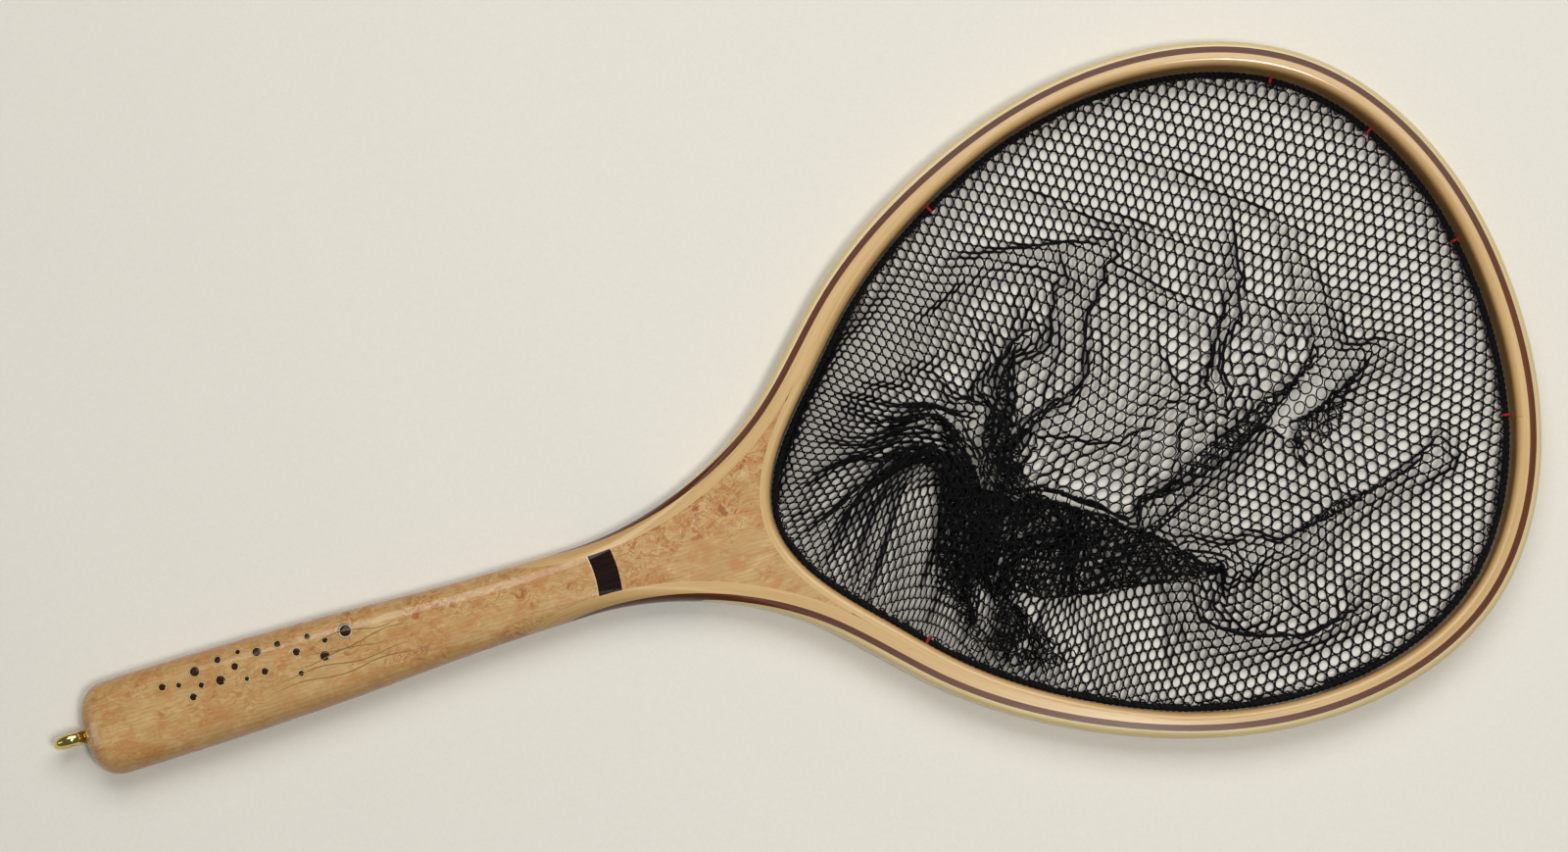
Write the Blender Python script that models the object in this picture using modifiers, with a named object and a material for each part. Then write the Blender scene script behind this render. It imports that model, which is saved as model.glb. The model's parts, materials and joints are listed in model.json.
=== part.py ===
"""Landing net: a laminated hoop and handle, a brass lanyard eye, inlaid spots and a soft net bag.

Metres, +Z up. +X runs from the butt of the handle to the tip of the hoop, +Y across it.
The net lies flat: z = 0 is its underside, and the origin is under the middle of its length.
"""

import math

import bmesh
import bpy
import numpy as np

MM = 0.001

# Outline of the bent strips: the middle of the dark ply on one side, from the handle to the tip.
STRIP_KNOTS = [
    (-122, 21.8), (-109, 17.4), (-96, 15.4), (-72, 16.0), (-46, 21.4), (-20, 32.3),
    (0, 45.2), (40, 83.6), (100, 122.2), (193.7, 144.0), (270, 120.4), (309.2, 64), (319.6, 0),
]
# Half width of the grip behind the strips.
GRIP_KNOTS = [(-310, 19.9), (-260, 19.9), (-225, 19.2), (-193, 18.1), (-160, 16.3), (-131, 15.2), (-96, 14.7)]
BUTT_X = -309.9          # end of the grip
BUTT_CORNER = 15.0       # length over which the butt rounds off in plan
BUTT_POWER = 2.6         # squareness of that corner

# Strips, as thicknesses across the hoop.
DARK_PLY = 2.7
OUTER_PLY = 2.9
INNER_PLY = (4.5, 2.5)   # at the throat and round the far end
CORE_PLY = (5.0, 2.6)
TAPER_X = (5.0, 130.0)   # where the two light strips start and stop getting thinner
FLANK_X = 15.0           # behind this the outer strips are sanded away
FLANK_SLOPE = 0.0446     # how fast, per millimetre of length
NECK_X = -70.0           # behind this the strips are drawn with closer points
TAIL_INSET = 0.1
THROAT_APEX_X = -11.8    # outer side of the inner strip, on the centre line
THROAT_HANDLES = (22.0, 18.0)
THROAT_JOIN_X = 14.0     # where the inner strip has joined the others
THROAT_SPACING = 6.5
SCARF_Y = -52.0          # the inner strip's ends meet here, at the far end of the hoop

# Heights and rounding.
HOOP_HEIGHT = 16.0
GRIP_HEIGHT = 20.0
HEIGHT_X = (-120.0, -15.0)
HOOP_ROUND = 3.0
GRIP_ROUND = 10.5
ROUND_X = (-125.0, -10.0)
MIN_WALL = 1.0
MIN_PLY = 0.5            # the strips stop where sanding leaves less than this

# Accent band between the two handle blocks.
BAND_X = (-87.4, -76.9)  # its two faces at the sides of the core
BAND_SAGITTA = 0.8

# Brass lanyard eye.
EYE_RADIUS = 5.5         # middle of the ring's section
EYE_SECTION = (2.0, 2.8)  # half of the section: along the radius, and across
SEAT_RADIUS = 4.7        # faced seat in the butt that the ring beds in
SEAT_DEPTH = 1.4
SHANK_RADIUS = 1.9
SHANK_LENGTH = 22.0
THREAD_DEPTH = 0.35
THREAD_PITCH = 2.0

# Inlaid spots in the grip: x, y and radius over the metal ring.
SPOTS = [
    (-271.7, 9.2, 1.8), (-264.9, 7.9, 1.4), (-257.1, 11.4, 2.3), (-260.4, 1.4, 1.8), (-255.9, 5.1, 1.5),
    (-246.8, 13.3, 1.7), (-247.7, 4.7, 2.3), (-240.5, 8.4, 1.8), (-237.9, 14.0, 1.3), (-237.0, 2.0, 1.3),
    (-230.2, 11.6, 2.1), (-229.0, 2.7, 1.8), (-221.1, 12.2, 1.7), (-214.2, 6.6, 1.9), (-214.7, -2.6, 1.5),
    (-208.3, 11.6, 1.5), (-201.5, 7.8, 1.5), (-203.3, 1.5, 2.4), (-192.4, 9.0, 3.1),
]
SPOT_DEPTH = 3.0
SPOT_WALL = 0.3
BIG_SPOT_WALL = 0.8
SPOT_GAP = 0.1
SPOT_SIDES = 12

# Net bag and its cords.
ROPE_RADIUS = 1.6
ROPE_Z = 4.6
LACING_RADIUS = 0.6
MARKER_RADIUS = 0.45
MARKER_SPOTS = [(95.3, 113), (257, 122), (293, 88), (313, 30), (309, -50), (34, -72)]
BAG_EDGE_Z = 3.6
BAG_SHEET = 1.8
# Folds of the collapsed bag: x, y, half length, half width, heading in degrees, height.
FOLDS = [
    (62, -18, 62, 32, 10, 9.0), (150, -22, 60, 15, -8, 6.5), (120, 20, 34, 16, 55, 6.0),
    (215, -48, 50, 10, 30, 4.5), (40, -42, 34, 16, -40, 6.0), (145, -75, 60, 12, 6, 4.0),
]

GAP = 0.3                # between pieces that touch
HALF_GAP = GAP / 2


def smoothstep(x, low, high):
    """0 at low, 1 at high, with level ends."""
    t = np.clip((np.asarray(x, float) - low) / (high - low), 0, 1)
    return t * t * (3 - 2 * t)


def cubic_spline(knots, samples):
    """Points along the natural cubic spline through the knots, evenly spread by chord length."""
    knots = np.asarray(knots, float)
    step = np.linalg.norm(np.diff(knots, axis=0), axis=1)
    where = np.concatenate([[0], np.cumsum(step)])
    count = len(knots)
    matrix = np.eye(count)
    right = np.zeros((count, knots.shape[1]))
    for i in range(1, count - 1):
        matrix[i, i - 1: i + 2] = step[i - 1], 2 * (step[i - 1] + step[i]), step[i]
        slopes = (knots[i + 1] - knots[i]) / step[i] - (knots[i] - knots[i - 1]) / step[i - 1]
        right[i] = 6 * slopes
    bend = np.linalg.solve(matrix, right)
    t = np.linspace(0, where[-1], samples)
    i = np.clip(np.searchsorted(where, t, side="right") - 1, 0, count - 2)
    h = step[i][:, None]
    a = (where[i + 1] - t)[:, None] / h
    b = 1 - a
    curve = a * knots[i] + b * knots[i + 1]
    return curve + ((a**3 - a) * bend[i] + (b**3 - b) * bend[i + 1]) * h * h / 6


def resample(points, spacing):
    """The same line with points an even distance apart."""
    lengths = np.concatenate([[0], np.cumsum(np.linalg.norm(np.diff(points, axis=0), axis=1))])
    count = max(3, round(lengths[-1] / spacing) + 1)
    at = np.linspace(0, lengths[-1], count)
    return np.stack([np.interp(at, lengths, points[:, k]) for k in range(points.shape[1])], axis=1)


def left_normals(line):
    """Unit normals to the left of an open line."""
    tangent = np.gradient(line, axis=0)
    tangent /= np.linalg.norm(tangent, axis=1)[:, None]
    return np.stack([-tangent[:, 1], tangent[:, 0]], axis=1)


def bezier(p0, p1, p2, p3, count):
    t = np.linspace(0, 1, count)[:, None]
    return (1 - t)**3 * p0 + 3 * (1 - t)**2 * t * p1 + 3 * (1 - t) * t * t * p2 + t**3 * p3


def mirrored(points):
    return points * np.array([1, -1])


def light_ply(thickness, x):
    """Thickness of a light strip beside the point x of the hoop."""
    near, far = thickness
    share = np.clip((np.asarray(x) - TAPER_X[0]) / (TAPER_X[1] - TAPER_X[0]), 0, 1)
    return near + (far - near) * share


def grip_half_width(x):
    """Half width of the grip, with its rounded butt."""
    line = cubic_spline(GRIP_KNOTS, 200)
    width = np.interp(x, line[:, 0], line[:, 1])
    corner = np.clip(1 - (np.asarray(x) - BUTT_X) / BUTT_CORNER, 0, 1)
    return width * (1 - corner**BUTT_POWER) ** (1 / BUTT_POWER)


class Plan:
    """The net seen from above: the strips' reference line and the edges that come from it."""

    def __init__(self, spacing, neck_spacing):
        smooth_line = cubic_spline(STRIP_KNOTS + [(x, -y) for x, y in STRIP_KNOTS[-2::-1]], 1600)
        split = np.argmax(smooth_line[:, 0] > NECK_X)
        neck = resample(smooth_line[:split + 1], neck_spacing)
        rest = resample(smooth_line[split:len(smooth_line) - split], spacing)
        self.line = np.concatenate([neck[:-1], rest, mirrored(neck[:-1])[::-1]])
        # The line runs from the +Y side of the handle round the tip to the -Y side.
        self.outward = left_normals(self.line)
        x, y = self.line.T
        sanded = DARK_PLY / 2 + OUTER_PLY - FLANK_SLOPE * np.clip(FLANK_X - x, 0, None)
        behind = (grip_half_width(x) - TAIL_INSET - np.abs(y)) * np.abs(self.outward[:, 1])
        self.edge = np.where(x < GRIP_KNOTS[-1][0], np.minimum(behind, sanded), sanded)
        self.core_in = -DARK_PLY / 2 - light_ply(CORE_PLY, x)
        self.hoop_in = self.core_in - light_ply(INNER_PLY, x)
        self.throat()

    def at(self, offset):
        return self.line + self.outward * np.asarray(offset).reshape(-1, 1)

    def throat(self):
        """The inner strip's outer side: along the core strip, and round the throat between."""
        joined = np.where(self.line[:, 0] >= THROAT_JOIN_X)[0]
        side = self.at(self.core_in)[joined[0]: joined[-1] + 1]
        ahead = side[1] - side[0]
        ahead /= np.linalg.norm(ahead)
        apex = np.array([THROAT_APEX_X, 0.0])
        arc = bezier(
            apex, apex + (0, THROAT_HANDLES[0]), side[0] - ahead * THROAT_HANDLES[1], side[0], 200)
        self.arc = resample(arc, THROAT_SPACING)
        self.inner_outside = np.concatenate([self.arc[:-1], side, mirrored(self.arc)[-2::-1]])
        normals = left_normals(self.inner_outside)
        depth = light_ply(INNER_PLY, self.inner_outside[:, 0] - 4)[:, None]
        self.inner_normals = normals
        self.inner_inside = self.inner_outside - normals * depth

    def outer_edge(self):
        """The outline of the wood, from the butt round the tip and back."""
        hoop = self.at(self.edge)
        keep = hoop[:, 0] > GRIP_KNOTS[-1][0]
        side = np.linspace(0, 1, 60) ** 2
        grip_x = BUTT_X + (GRIP_KNOTS[-1][0] - BUTT_X) * side
        grip = np.stack([grip_x, grip_half_width(grip_x)], axis=1)
        return np.concatenate([grip, hoop[keep], mirrored(grip)[::-1]])


def distance_to(points, line):
    """Distance from each point to a line of points."""
    start = line[:-1]
    along = line[1:] - start
    length = np.maximum((along**2).sum(1), 1e-12)
    best = np.full(len(points), np.inf)
    for i in range(len(start)):
        rel = points - start[i]
        t = np.clip(rel @ along[i] / length[i], 0, 1)
        best = np.minimum(best, np.linalg.norm(rel - t[:, None] * along[i], axis=1))
    return best


PLAN = Plan(spacing=10.0, neck_spacing=4.0)
OUTER_EDGE = resample(PLAN.outer_edge(), 3.0)
INNER_EDGE = resample(PLAN.inner_inside, 3.0)


def wood_height(points):
    """Lowest and highest z of the wood at points of the plan."""
    x = points[:, 0]
    height = GRIP_HEIGHT + (HOOP_HEIGHT - GRIP_HEIGHT) * smoothstep(x, *HEIGHT_X)
    radius = GRIP_ROUND + (HOOP_ROUND - GRIP_ROUND) * smoothstep(x, *ROUND_X)
    rise = np.minimum(radius, height / 2 - MIN_WALL / 2)

    def drop(distance, width, depth):
        near = np.clip(1 - distance / width, 0, 1)
        return depth * (1 - np.sqrt(1 - near * near))

    lost = drop(distance_to(points, OUTER_EDGE), radius, rise)
    lost += drop(distance_to(points, INNER_EDGE), HOOP_ROUND, HOOP_ROUND)
    return lost, height - lost


# --- building meshes -------------------------------------------------------

COLLECTION = None


def clear_scene():
    for thing in list(bpy.data.objects):
        bpy.data.objects.remove(thing)


def material(name, colour, roughness, metallic=0.0):
    made = bpy.data.materials.new(name)
    made.use_nodes = True
    shader = made.node_tree.nodes["Principled BSDF"]
    shader.inputs["Base Color"].default_value = (*colour, 1)
    shader.inputs["Roughness"].default_value = roughness
    shader.inputs["Metallic"].default_value = metallic
    return made


def add_object(name, mesh, finish, collection=None):
    made = bpy.data.objects.new(name, mesh)
    (collection or COLLECTION).objects.link(made)
    if finish:
        mesh.materials.clear()
        mesh.materials.append(finish)
    return made


def smooth(made, degrees=35):
    made.data.shade_smooth()
    made.data.set_sharp_from_angle(angle=math.radians(degrees))
    return made


def slab(name, grid, low, high, finish):
    """A closed body over a grid of plan points (rows, columns, 2) between two heights."""
    rows, columns = grid.shape[:2]
    body = bmesh.new()
    levels = []
    for z in (low, high):
        level = []
        for i in range(rows):
            level.append([body.verts.new((grid[i, j, 0] * MM, grid[i, j, 1] * MM, z[i, j] * MM))
                          for j in range(columns)])
        levels.append(level)
    bottom, top = levels
    for i in range(rows - 1):
        for j in range(columns - 1):
            body.faces.new((top[i][j], top[i + 1][j], top[i + 1][j + 1], top[i][j + 1]))
            body.faces.new((bottom[i][j], bottom[i][j + 1], bottom[i + 1][j + 1], bottom[i + 1][j]))
    rim = [(i, 0) for i in range(rows)] + [(rows - 1, j) for j in range(1, columns)]
    rim += [(i, columns - 1) for i in range(rows - 2, -1, -1)] + [(0, j) for j in range(columns - 2, 0, -1)]
    for (i, j), (k, m) in zip(rim, rim[1:] + rim[:1]):
        body.faces.new((bottom[i][j], bottom[k][m], top[k][m], top[i][j]))
    bmesh.ops.recalc_face_normals(body, faces=body.faces)
    return smooth(add_object(name, finish_mesh(name, body), finish))


def wood_slab(name, grid, finish):
    low, high = wood_height(grid.reshape(-1, 2))
    shape = grid.shape[:2]
    return slab(name, grid, low.reshape(shape), high.reshape(shape), finish)


def across(first, last, count, round_last=False):
    """A grid between two lines of points, closer together at the rounded side."""
    share = np.linspace(0, 1, count)
    if round_last:
        share = np.sin(share * math.pi / 2)
    return first[:, None, :] + (last - first)[:, None, :] * share[None, :, None]


def strip(name, inside, outside, count, finish):
    """A bent strip between two offsets from the reference line, cut where the sanding thins it out."""
    outside = np.minimum(outside, PLAN.edge)
    thin = np.where(outside - inside <= MIN_PLY)[0]
    first = max(thin[thin < len(inside) // 2], default=-1) + 1
    rows = slice(first, len(inside) - first)
    grid = across(PLAN.at(inside)[rows], PLAN.at(outside)[rows], count, round_last=True)
    return wood_slab(name, grid, finish)


def make_strips(light, dark):
    half = DARK_PLY / 2
    strip("core_ply", PLAN.core_in + HALF_GAP, np.full(len(PLAN.edge), -half - HALF_GAP), 4, light)
    strip("dark_ply", np.full(len(PLAN.edge), -half + HALF_GAP), np.full(len(PLAN.edge), half - HALF_GAP), 4, dark)
    strip("outer_ply", np.full(len(PLAN.edge), half + HALF_GAP), np.full(len(PLAN.edge), 99.0), 5, light)


def make_inner_ply(light):
    """The strip that lines the hoop and the throat; its two ends meet at the scarf."""
    outside = PLAN.inner_outside - PLAN.inner_normals * HALF_GAP
    inside = PLAN.inner_inside
    scarf = np.argmin(np.where(outside[:, 0] > 200, np.abs(outside[:, 1] - SCARF_Y), np.inf))
    order = np.roll(np.arange(len(outside)), -scarf)
    outside, inside = outside[order], inside[order]
    first_out, first_in = outside[0], inside[0]
    back_out, back_in = outside[-1] - first_out, inside[-1] - first_in
    outside = np.concatenate([outside, [first_out + back_out * GAP / np.linalg.norm(back_out)]])
    inside = np.concatenate([inside, [first_in + back_in * GAP / np.linalg.norm(back_in)]])
    share = 1 - np.cos(np.linspace(0, 1, 5) * math.pi / 2)
    grid = inside[:, None, :] + (outside - inside)[:, None, :] * share[None, :, None]
    wood_slab("inner_ply", grid, light)


def core_side():
    """Side of the handle's core where it is glued to the strips, from the grip to the throat."""
    side = PLAN.at(PLAN.core_in - HALF_GAP)[:len(PLAN.line) // 2]
    thick = (PLAN.edge - PLAN.core_in)[:len(side)] > MIN_PLY + HALF_GAP
    return side[thick & (side[:, 0] < 20)]


def core_half_width(x):
    """Half width of the handle's core, inside the strips or out to the edge of the grip."""
    side = core_side()
    reach = np.interp(x, side[:, 0], side[:, 1], left=99.0)
    return np.minimum(reach, grip_half_width(x))


def band_line(x_side, count):
    """One face of the accent band, an arc that bulges towards the hoop."""
    half = core_half_width(x_side)
    y = np.linspace(-1, 1, count)
    return np.stack([x_side + BAND_SAGITTA * (1 - y * y), y * half], axis=1)


def columns_for(x, count):
    """Plan points across the core at x, closer together near its sides."""
    share = np.sin(np.linspace(-1, 1, count) * math.pi / 2)
    return np.stack([np.full(count, x), share * core_half_width(x)], axis=1)


def to_face(rows, face_x, count):
    """Bends the rows nearest to the accent band to follow its arc."""
    share = np.sin(np.linspace(-1, 1, count) * math.pi / 2)
    bulge = BAND_SAGITTA * (1 - share * share)
    reach = 30.0
    for row in rows:
        near = np.clip(1 - abs(row[0, 0] - face_x) / reach, 0, 1)
        row[:, 0] += bulge * near
    return rows


def make_accent_band(dark):
    count = 15
    edges = (BAND_X[0] + HALF_GAP, BAND_X[1] - HALF_GAP)
    rows = np.stack([columns_for(x, count) for x in np.linspace(*edges, 4)])
    share = np.sin(np.linspace(-1, 1, count) * math.pi / 2)
    rows[:, :, 0] += BAND_SAGITTA * (1 - share * share)
    wood_slab("accent_band", rows, dark)


def make_rear_block(figured, collection):
    """The grip, with bores for the inlays and the lanyard eye."""
    count = 15
    end = BAND_X[0] - HALF_GAP
    near_butt = BUTT_X + 0.25 + 16 * (1 - np.cos(np.linspace(0, math.pi / 2, 7)))
    glued = core_side()[:, 0]
    glued = np.append(glued[glued < end - 2], end)
    along = np.concatenate([near_butt, np.linspace(near_butt[-1], glued[0] - 0.5, 14)[1:], glued])
    rows = to_face(np.stack([columns_for(x, count) for x in along]), end, count)
    block = wood_slab("rear_handle_block", rows, figured)
    for cutter in (make_spot_bores(collection), make_eye_bore(collection)):
        boolean = block.modifiers.new("bores", "BOOLEAN")
        boolean.operation = "DIFFERENCE"
        boolean.object = cutter
    return block


def make_throat_block(figured):
    """The flared block between the strips: one half as a grid, from the strips to the throat."""
    count = 9
    start = BAND_X[1] + HALF_GAP
    glue = PLAN.at(PLAN.core_in + 0.0)
    normals = PLAN.outward
    middle = len(glue) // 2
    side = resample((glue - normals * HALF_GAP)[:middle], 1.0)
    side = side[(side[:, 0] > start - 20) & (side[:, 0] < 40)]
    x_first = start
    side = np.concatenate([[[x_first, core_half_width(x_first)]], side[side[:, 0] > x_first + 2]])
    arc = resample(PLAN.arc, 1.0)
    arc_in = arc + left_normals(arc) * HALF_GAP
    arc_in[0, 1] = 0
    # Match every point of the glue line with one on the axis or on the throat arc.
    gap_at = distance_to(side, arc_in)
    stop = np.where((gap_at < 1.0) & (side[:, 0] > -15))[0]
    side = side[:stop[0]] if len(stop) else side
    side = resample(side, 3.5)
    reach = side[-1]
    last = np.argmin(np.linalg.norm(arc_in - reach, axis=1))
    axis_x = np.array([[x_first + BAND_SAGITTA, 0.0]])
    path = np.concatenate([axis_x, arc_in[:last + 1]])
    path = path[np.concatenate([[True], path[1:, 1] >= 0])]
    path[:, 1] = np.where(path[:, 0] < arc_in[0, 0] - 1e-6, 0, path[:, 1])
    straight = arc_in[0, 0] - axis_x[0, 0]
    lengths = np.concatenate([[0], np.cumsum(np.linalg.norm(np.diff(side, axis=0), axis=1))])
    split = np.interp(arc_in[0, 0] - 12, side[:, 0], lengths)
    travel = np.interp(lengths, [0, split, lengths[-1]], [0, straight, straight + (last) * 1.0])
    along = np.concatenate([[0], np.cumsum(np.linalg.norm(np.diff(path, axis=0), axis=1))])
    travel = travel / travel[-1] * along[-1]
    corner = np.argmin(np.abs(travel - straight))
    travel[corner] = straight
    inner = np.stack([np.interp(travel, along, path[:, k]) for k in (0, 1)], axis=1)
    half = across(inner, side, count)
    bulge = BAND_SAGITTA * (1 - np.linspace(0, 1, count) ** 2)
    half[0, :, 0] = start + bulge
    # The mirrored half shares the axis column up to the throat; the horns stay apart behind it.
    return half, corner


def make_throat_mesh(figured):
    half, corner = make_throat_block(figured)
    rows, count = half.shape[:2]
    low, high = wood_height(half.reshape(-1, 2))
    low = low.reshape(rows, count)
    high = high.reshape(rows, count)
    body = bmesh.new()
    sides = []
    for sign in (1, -1):
        levels = []
        for z in (low, high):
            levels.append([[body.verts.new((half[i, j, 0] * MM, sign * half[i, j, 1] * MM, z[i, j] * MM))
                            for j in range(count)] for i in range(rows)])
        sides.append(levels)
    for sign, (bottom, top) in zip((1, -1), sides):
        quads = []
        for i in range(rows - 1):
            for j in range(count - 1):
                quads.append((top[i][j], top[i + 1][j], top[i + 1][j + 1], top[i][j + 1]))
                quads.append((bottom[i][j], bottom[i][j + 1], bottom[i + 1][j + 1], bottom[i + 1][j]))
            quads.append((bottom[i][-1], top[i][-1], top[i + 1][-1], bottom[i + 1][-1]))
            if i >= corner:
                quads.append((bottom[i][0], bottom[i + 1][0], top[i + 1][0], top[i][0]))
        for j in range(count - 1):
            quads.append((bottom[0][j], top[0][j], top[0][j + 1], bottom[0][j + 1]))
            quads.append((bottom[-1][j], bottom[-1][j + 1], top[-1][j + 1], top[-1][j]))
        for quad in quads:
            body.faces.new(quad if sign > 0 else quad[::-1])
    bmesh.ops.remove_doubles(body, verts=body.verts, dist=1e-6)
    bmesh.ops.recalc_face_normals(body, faces=body.faces)
    return smooth(add_object("throat_block", finish_mesh("throat_block", body), figured))


def surface_z(x, y):
    return wood_height(np.array([[x, y]]))[1][0]


def turned(name, profile, closed, sides, finish, collection=None):
    """A body of revolution about its own Z; the profile runs downwards on its outer side."""
    count = len(profile)
    edges = [(k, k + 1) for k in range(count - 1)] + ([(count - 1, 0)] if closed else [])
    mesh = bpy.data.meshes.new(name)
    mesh.from_pydata([(r * MM, 0, z * MM) for r, z in profile], edges, [])
    made = add_object(name, mesh, finish, collection)
    turn = made.modifiers.new("turn", "SCREW")
    turn.steps = turn.render_steps = sides
    turn.use_merge_vertices = True
    turn.merge_threshold = 0.00001
    return made


def as_cutter(made):
    made.hide_render = True
    made.display_type = "WIRE"
    return made


def along_grip(made, x):
    """Turns a body of revolution to lie along the grip's axis, starting at x."""
    made.rotation_euler = (0, math.pi / 2, 0)
    made.location = (x * MM, 0, GRIP_HEIGHT / 2 * MM)
    return made


def add_cylinder(body, x, y, radius, low, high):
    made = bmesh.ops.create_cone(
        body, cap_ends=True, segments=SPOT_SIDES, radius1=radius * MM, radius2=radius * MM,
        depth=(high - low) * MM)
    bmesh.ops.translate(body, verts=made["verts"], vec=(x * MM, y * MM, (low + high) / 2 * MM))


def finish_mesh(name, body):
    mesh = bpy.data.meshes.new(name)
    body.to_mesh(mesh)
    body.free()
    return mesh


def spot_wall(radius):
    return BIG_SPOT_WALL if radius > 3 else SPOT_WALL


def make_spots(metal, dark):
    for number, (x, y, radius) in enumerate(SPOTS, 1):
        top = surface_z(x, y) - 0.05
        wall = spot_wall(radius)
        floor = top - SPOT_DEPTH
        section = [(radius, top), (radius, floor), (radius - wall, floor), (radius - wall, top)]
        ring = turned(f"spot_ring_{number:02d}", section, True, SPOT_SIDES, metal)
        ring.location = (x * MM, y * MM, 0)
        name = f"spot_core_{number:02d}"
        body = bmesh.new()
        add_cylinder(body, x, y, radius - wall - SPOT_GAP, floor, top - 0.05)
        smooth(add_object(name, finish_mesh(name, body), dark))


def make_spot_bores(collection):
    body = bmesh.new()
    for x, y, radius in SPOTS:
        top = surface_z(x, y)
        add_cylinder(body, x, y, radius + SPOT_GAP, top - 0.05 - SPOT_DEPTH - SPOT_GAP, top + 3)
    return as_cutter(add_object("spot_bores", finish_mesh("spot_bores", body), None, collection))


def make_eye_bore(collection):
    """The faced seat in the butt and the bore behind it."""
    bore = SHANK_RADIUS + GAP
    end = SHANK_LENGTH + GAP
    profile = [(0, end), (bore, end), (bore, SEAT_DEPTH), (SEAT_RADIUS, SEAT_DEPTH), (SEAT_RADIUS, -6), (0, -6)]
    made = turned("eye_bore", profile, False, 20, None, collection)
    return as_cutter(along_grip(made, BUTT_X))


def make_eye(brass, collection):
    """A forged eye: a ring of oval section on a threaded shank."""
    centre_x = BUTT_X + SEAT_DEPTH - GAP - EYE_RADIUS - EYE_SECTION[0]
    angles = np.linspace(0, -2 * math.pi, 15)[:-1]
    section = [(EYE_RADIUS + EYE_SECTION[0] * math.cos(a), EYE_SECTION[1] * math.sin(a)) for a in angles]
    eye = turned("lanyard_eye", section, True, 28, brass)
    eye.rotation_euler = (math.pi / 2, 0, 0)
    eye.location = (centre_x * MM, 0, GRIP_HEIGHT / 2 * MM)
    union = eye.modifiers.new("shank", "BOOLEAN")
    union.operation = "UNION"
    union.object = make_shank(collection, centre_x + EYE_RADIUS)
    return eye


def make_shank(collection, start_x):
    """The threaded shank."""
    turns = int((SHANK_LENGTH - 6) / THREAD_PITCH)
    length = BUTT_X + SHANK_LENGTH - start_x
    profile = [(0.0, length), (0.9, length - 1.5)]
    z = length - 2.5
    for _ in range(turns):
        profile += [(SHANK_RADIUS, z), (SHANK_RADIUS - THREAD_DEPTH, z - THREAD_PITCH / 2)]
        z -= THREAD_PITCH
    profile += [(SHANK_RADIUS, z), (SHANK_RADIUS, 0.0), (0.0, 0.0)]
    return as_cutter(along_grip(turned("shank", profile, False, 16, None, collection), start_x))


def rope_line(inset, spacing):
    """A closed line inside the hoop, inset from its inner edge."""
    edge = PLAN.inner_inside - PLAN.inner_normals * inset
    closed = np.concatenate([edge, edge[:1]])
    return resample(closed, spacing)[:-1]


def tube_curve(name, points, radius, finish, cyclic, resolution=2):
    curve = bpy.data.curves.new(name, "CURVE")
    curve.dimensions = "3D"
    curve.bevel_depth = radius * MM
    curve.bevel_resolution = resolution
    curve.use_fill_caps = not cyclic
    spline = curve.splines.new("POLY")
    spline.points.add(len(points) - 1)
    for point, (x, y, z) in zip(spline.points, points):
        point.co = (x * MM, y * MM, z * MM, 1)
    spline.use_cyclic_u = cyclic
    made = bpy.data.objects.new(name, curve)
    COLLECTION.objects.link(made)
    curve.materials.append(finish)
    return made


def make_rope(black):
    line = rope_line(ROPE_RADIUS + GAP, 10.0)
    points = [(x, y, ROPE_Z) for x, y in line]
    return tube_curve("head_rope", points, ROPE_RADIUS, black, cyclic=True)


def make_lacing(black):
    """The cord that ties the bag's edge to the head rope, just inside it."""
    line = rope_line(2 * ROPE_RADIUS + 2 * GAP + LACING_RADIUS, 10.0)
    points = [(x, y, ROPE_Z) for x, y in line]
    return tube_curve("lacing_cord", points, LACING_RADIUS, black, cyclic=True, resolution=1)


def make_markers(red):
    """Short red threads knotted over the head rope as counting marks."""
    edge = rope_line(ROPE_RADIUS + GAP, 2.0)
    inside = left_normals(edge)
    for number, spot in enumerate(MARKER_SPOTS, 1):
        i = np.argmin(np.linalg.norm(edge - np.array(spot), axis=1))
        (x, y), (nx, ny) = edge[i], -inside[i]
        lift = ROPE_Z + ROPE_RADIUS + GAP + MARKER_RADIUS
        points = [(x - nx * 1.2, y - ny * 1.2, lift), (x, y, lift + 0.3), (x + nx * 1.6, y + ny * 1.6, lift)]
        tube_curve(f"marker_thread_{number}", points, MARKER_RADIUS, red, cyclic=False)


def fold_height(points):
    """Extra height of the collapsed bag's folds at plan points."""
    raised = np.zeros(len(points))
    for x, y, length, width, heading, height in FOLDS:
        turn = math.radians(heading)
        rel = points - np.array([x, y])
        u = (rel[:, 0] * math.cos(turn) + rel[:, 1] * math.sin(turn)) / length
        v = (-rel[:, 0] * math.sin(turn) + rel[:, 1] * math.cos(turn)) / width
        raised = np.maximum(raised, height * np.exp(-(u * u + v * v) * 1.2))
    return raised


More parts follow.
